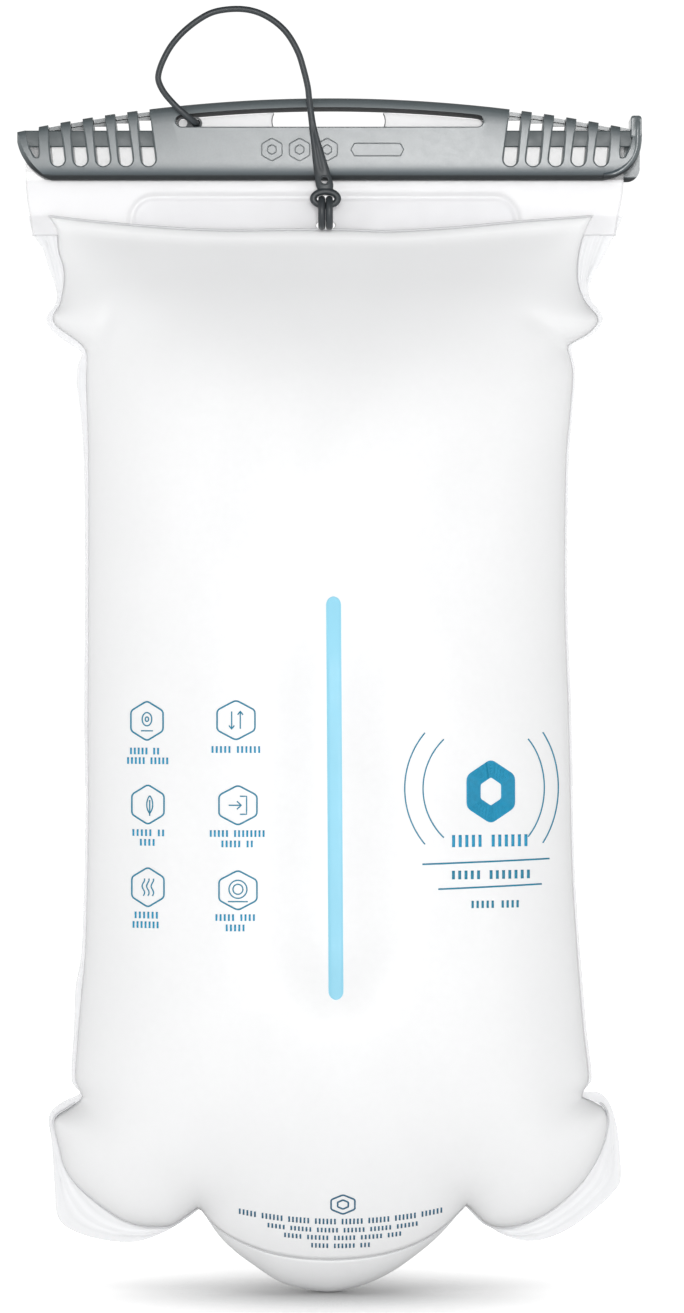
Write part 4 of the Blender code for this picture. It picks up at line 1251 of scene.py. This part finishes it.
def make_floor(level):
    """A pale floor that glows, less so under the bag."""
    s = Surface("floor", (0.55, 0.55, 0.55), 0.9)
    s.tone(s.noise(300.0, 2.0), 0.995, 1.005)
    s.shader.inputs["Emission Color"].default_value = (1, 1, 1, 1)
    open_sky = s.node("ShaderNodeAmbientOcclusion", samples=16)
    open_sky.inputs["Distance"].default_value = SHADOW_REACH
    glow = s.span(open_sky.outputs["AO"], 0.35, 0.97, 0.02, 1.0, smooth=True)
    seen = s.span(s.node("ShaderNodeLightPath").outputs["Is Camera Ray"], 0.0, 1.0, 0.48, 1.0)
    s.link(s.math("MULTIPLY", glow, seen), s.shader.inputs["Emission Strength"])
    half = 6.0
    corners = [(-half, -half, level), (half, -half, level), (half, half, level), (-half, half, level)]
    mesh = bpy.data.meshes.new("floor")
    mesh.from_pydata(corners, [], [(0, 1, 2, 3)])
    mesh.materials.append(s.done())
    obj = bpy.data.objects.new("floor", mesh)
    bpy.context.collection.objects.link(obj)
    obj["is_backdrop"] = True


def dress_cad(materials):
    """New materials for the CAD nodes that stay."""
    for node, mat in materials.items():
        obj = bpy.data.objects[node]
        obj.data.materials.clear()
        obj.data.materials.append(mat)


def make_materials():
    """Every material that isn't one of a kind, by name."""
    made = {
        "rubber": textured("elastomer", (0.026, 0.032, 0.036), 0.42,
                           [(5.0, 4.0, 0.85, 1.2), (0.5, 2.0, 0.92, 1.08)],
                           (2.5, 4.0, 0.40, 0.56), (0.35, 2.0, 0.012, 0.5)).done(),
        "cyan": textured("blue_rail", (0.26, 0.60, 0.76), 0.45, [(14.0, 3.0, 0.97, 1.02)],
                         (4.0, 3.0, 0.42, 0.5), (0.8, 2.0, 0.015, 0.5)).done(),
        "steel": textured("spring_steel", (0.62, 0.62, 0.64), 0.25, [(1.5, 3.0, 0.92, 1.06)],
                          (1.0, 3.0, 0.2, 0.34), (0.3, 2.0, 0.004, 0.5), (1, 1, 8), Metallic=1.0).done(),
    }
    for short, name, color, roughness, grain in (
            # near-black for the painted shade on the hang tab's cut edges
            ("edge", "tab_edge", (0.012, 0.016, 0.018), 0.38, 0.35),
            ("badge", "clip_badge", (0.13, 0.145, 0.15), 0.4, 0.35),
            ("dark", "dark_plastic", (0.045, 0.06, 0.064), 0.4, 0.35),
            ("port", "port_plastic", (0.26, 0.28, 0.30), 0.42, 0.5),
            ("white", "white_plastic", (0.80, 0.81, 0.82), 0.4, 0.35)):
        made[short] = moulded(name, color, roughness, grain)
    for short, name, color, alpha in (
            ("clear", "clear_film", (0.89, 0.888, 0.90), 0.42),
            # painted light: a lighter, more see-through copy of the clear film for its part inside the clip
            ("folded", "folded_film", (0.92, 0.92, 0.925), 0.13),
            ("weld", "welded_film", (0.75, 0.755, 0.77), 0.6),
            ("stiff", "stiff_film", (0.83, 0.83, 0.86), 0.6)):
        made[short] = make_film(name, color, alpha)
    for name, color in (("ink", (0.002, 0.27, 0.47)), ("fine_ink", (0.006, 0.20, 0.32)),
                        ("dark_ink", (0.02, 0.11, 0.19))):
        made[name] = make_ink(name, color)
    return made


def main():
    make_camera()
    mats = make_materials()
    rubber = mats["rubber"]
    for make in (make_cord, make_strap, make_ring, make_loop):
        make(rubber)

    make_clip(make_clip_material())
    make_clip_badge(mats["badge"])
    make_rail(mats["dark"])
    make_skirts(mats["clear"], mats["folded"])
    make_plate(mats["stiff"])
    make_tab(mats["clear"], mats["edge"])

    film = Film()
    frosted = make_frosted()
    make_panels(film, frosted)
    make_gusset(film, frosted)
    make_flange(mats["weld"])
    make_weld_lines(film, mats["weld"])
    make_strip(film, mats["cyan"])
    make_spring("valve_coil", "valve_spring", mats["steel"], (0, 14.5, PORT_Z), (0, 1, 0), 3.2, 5.0, 0.6)
    make_spring("button_coil", "button_spring", mats["steel"], (0, 37.3, PORT_Z - 12.6), (0, 0, 1), 1.5,
                5.0, 0.4)
    make_prints(film, mats["ink"], mats["fine_ink"], mats["dark_ink"])

    dress_cad({"tether_link": rubber, "tether_bead": rubber, "baffle_rail_back": mats["cyan"],
               "port_flange": mats["white"], "port_housing": mats["port"], "latch_ring": mats["steel"],
               "release_button": mats["dark"], "valve_cage": mats["port"], "valve_poppet": mats["dark"],
               "poppet_seal": rubber, "plug_seal": rubber})

    make_world()
    make_floor(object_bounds()[0][2] - 0.0002)
    make_softbox()
    bpy.context.scene.view_settings.view_transform = "Standard"


main()
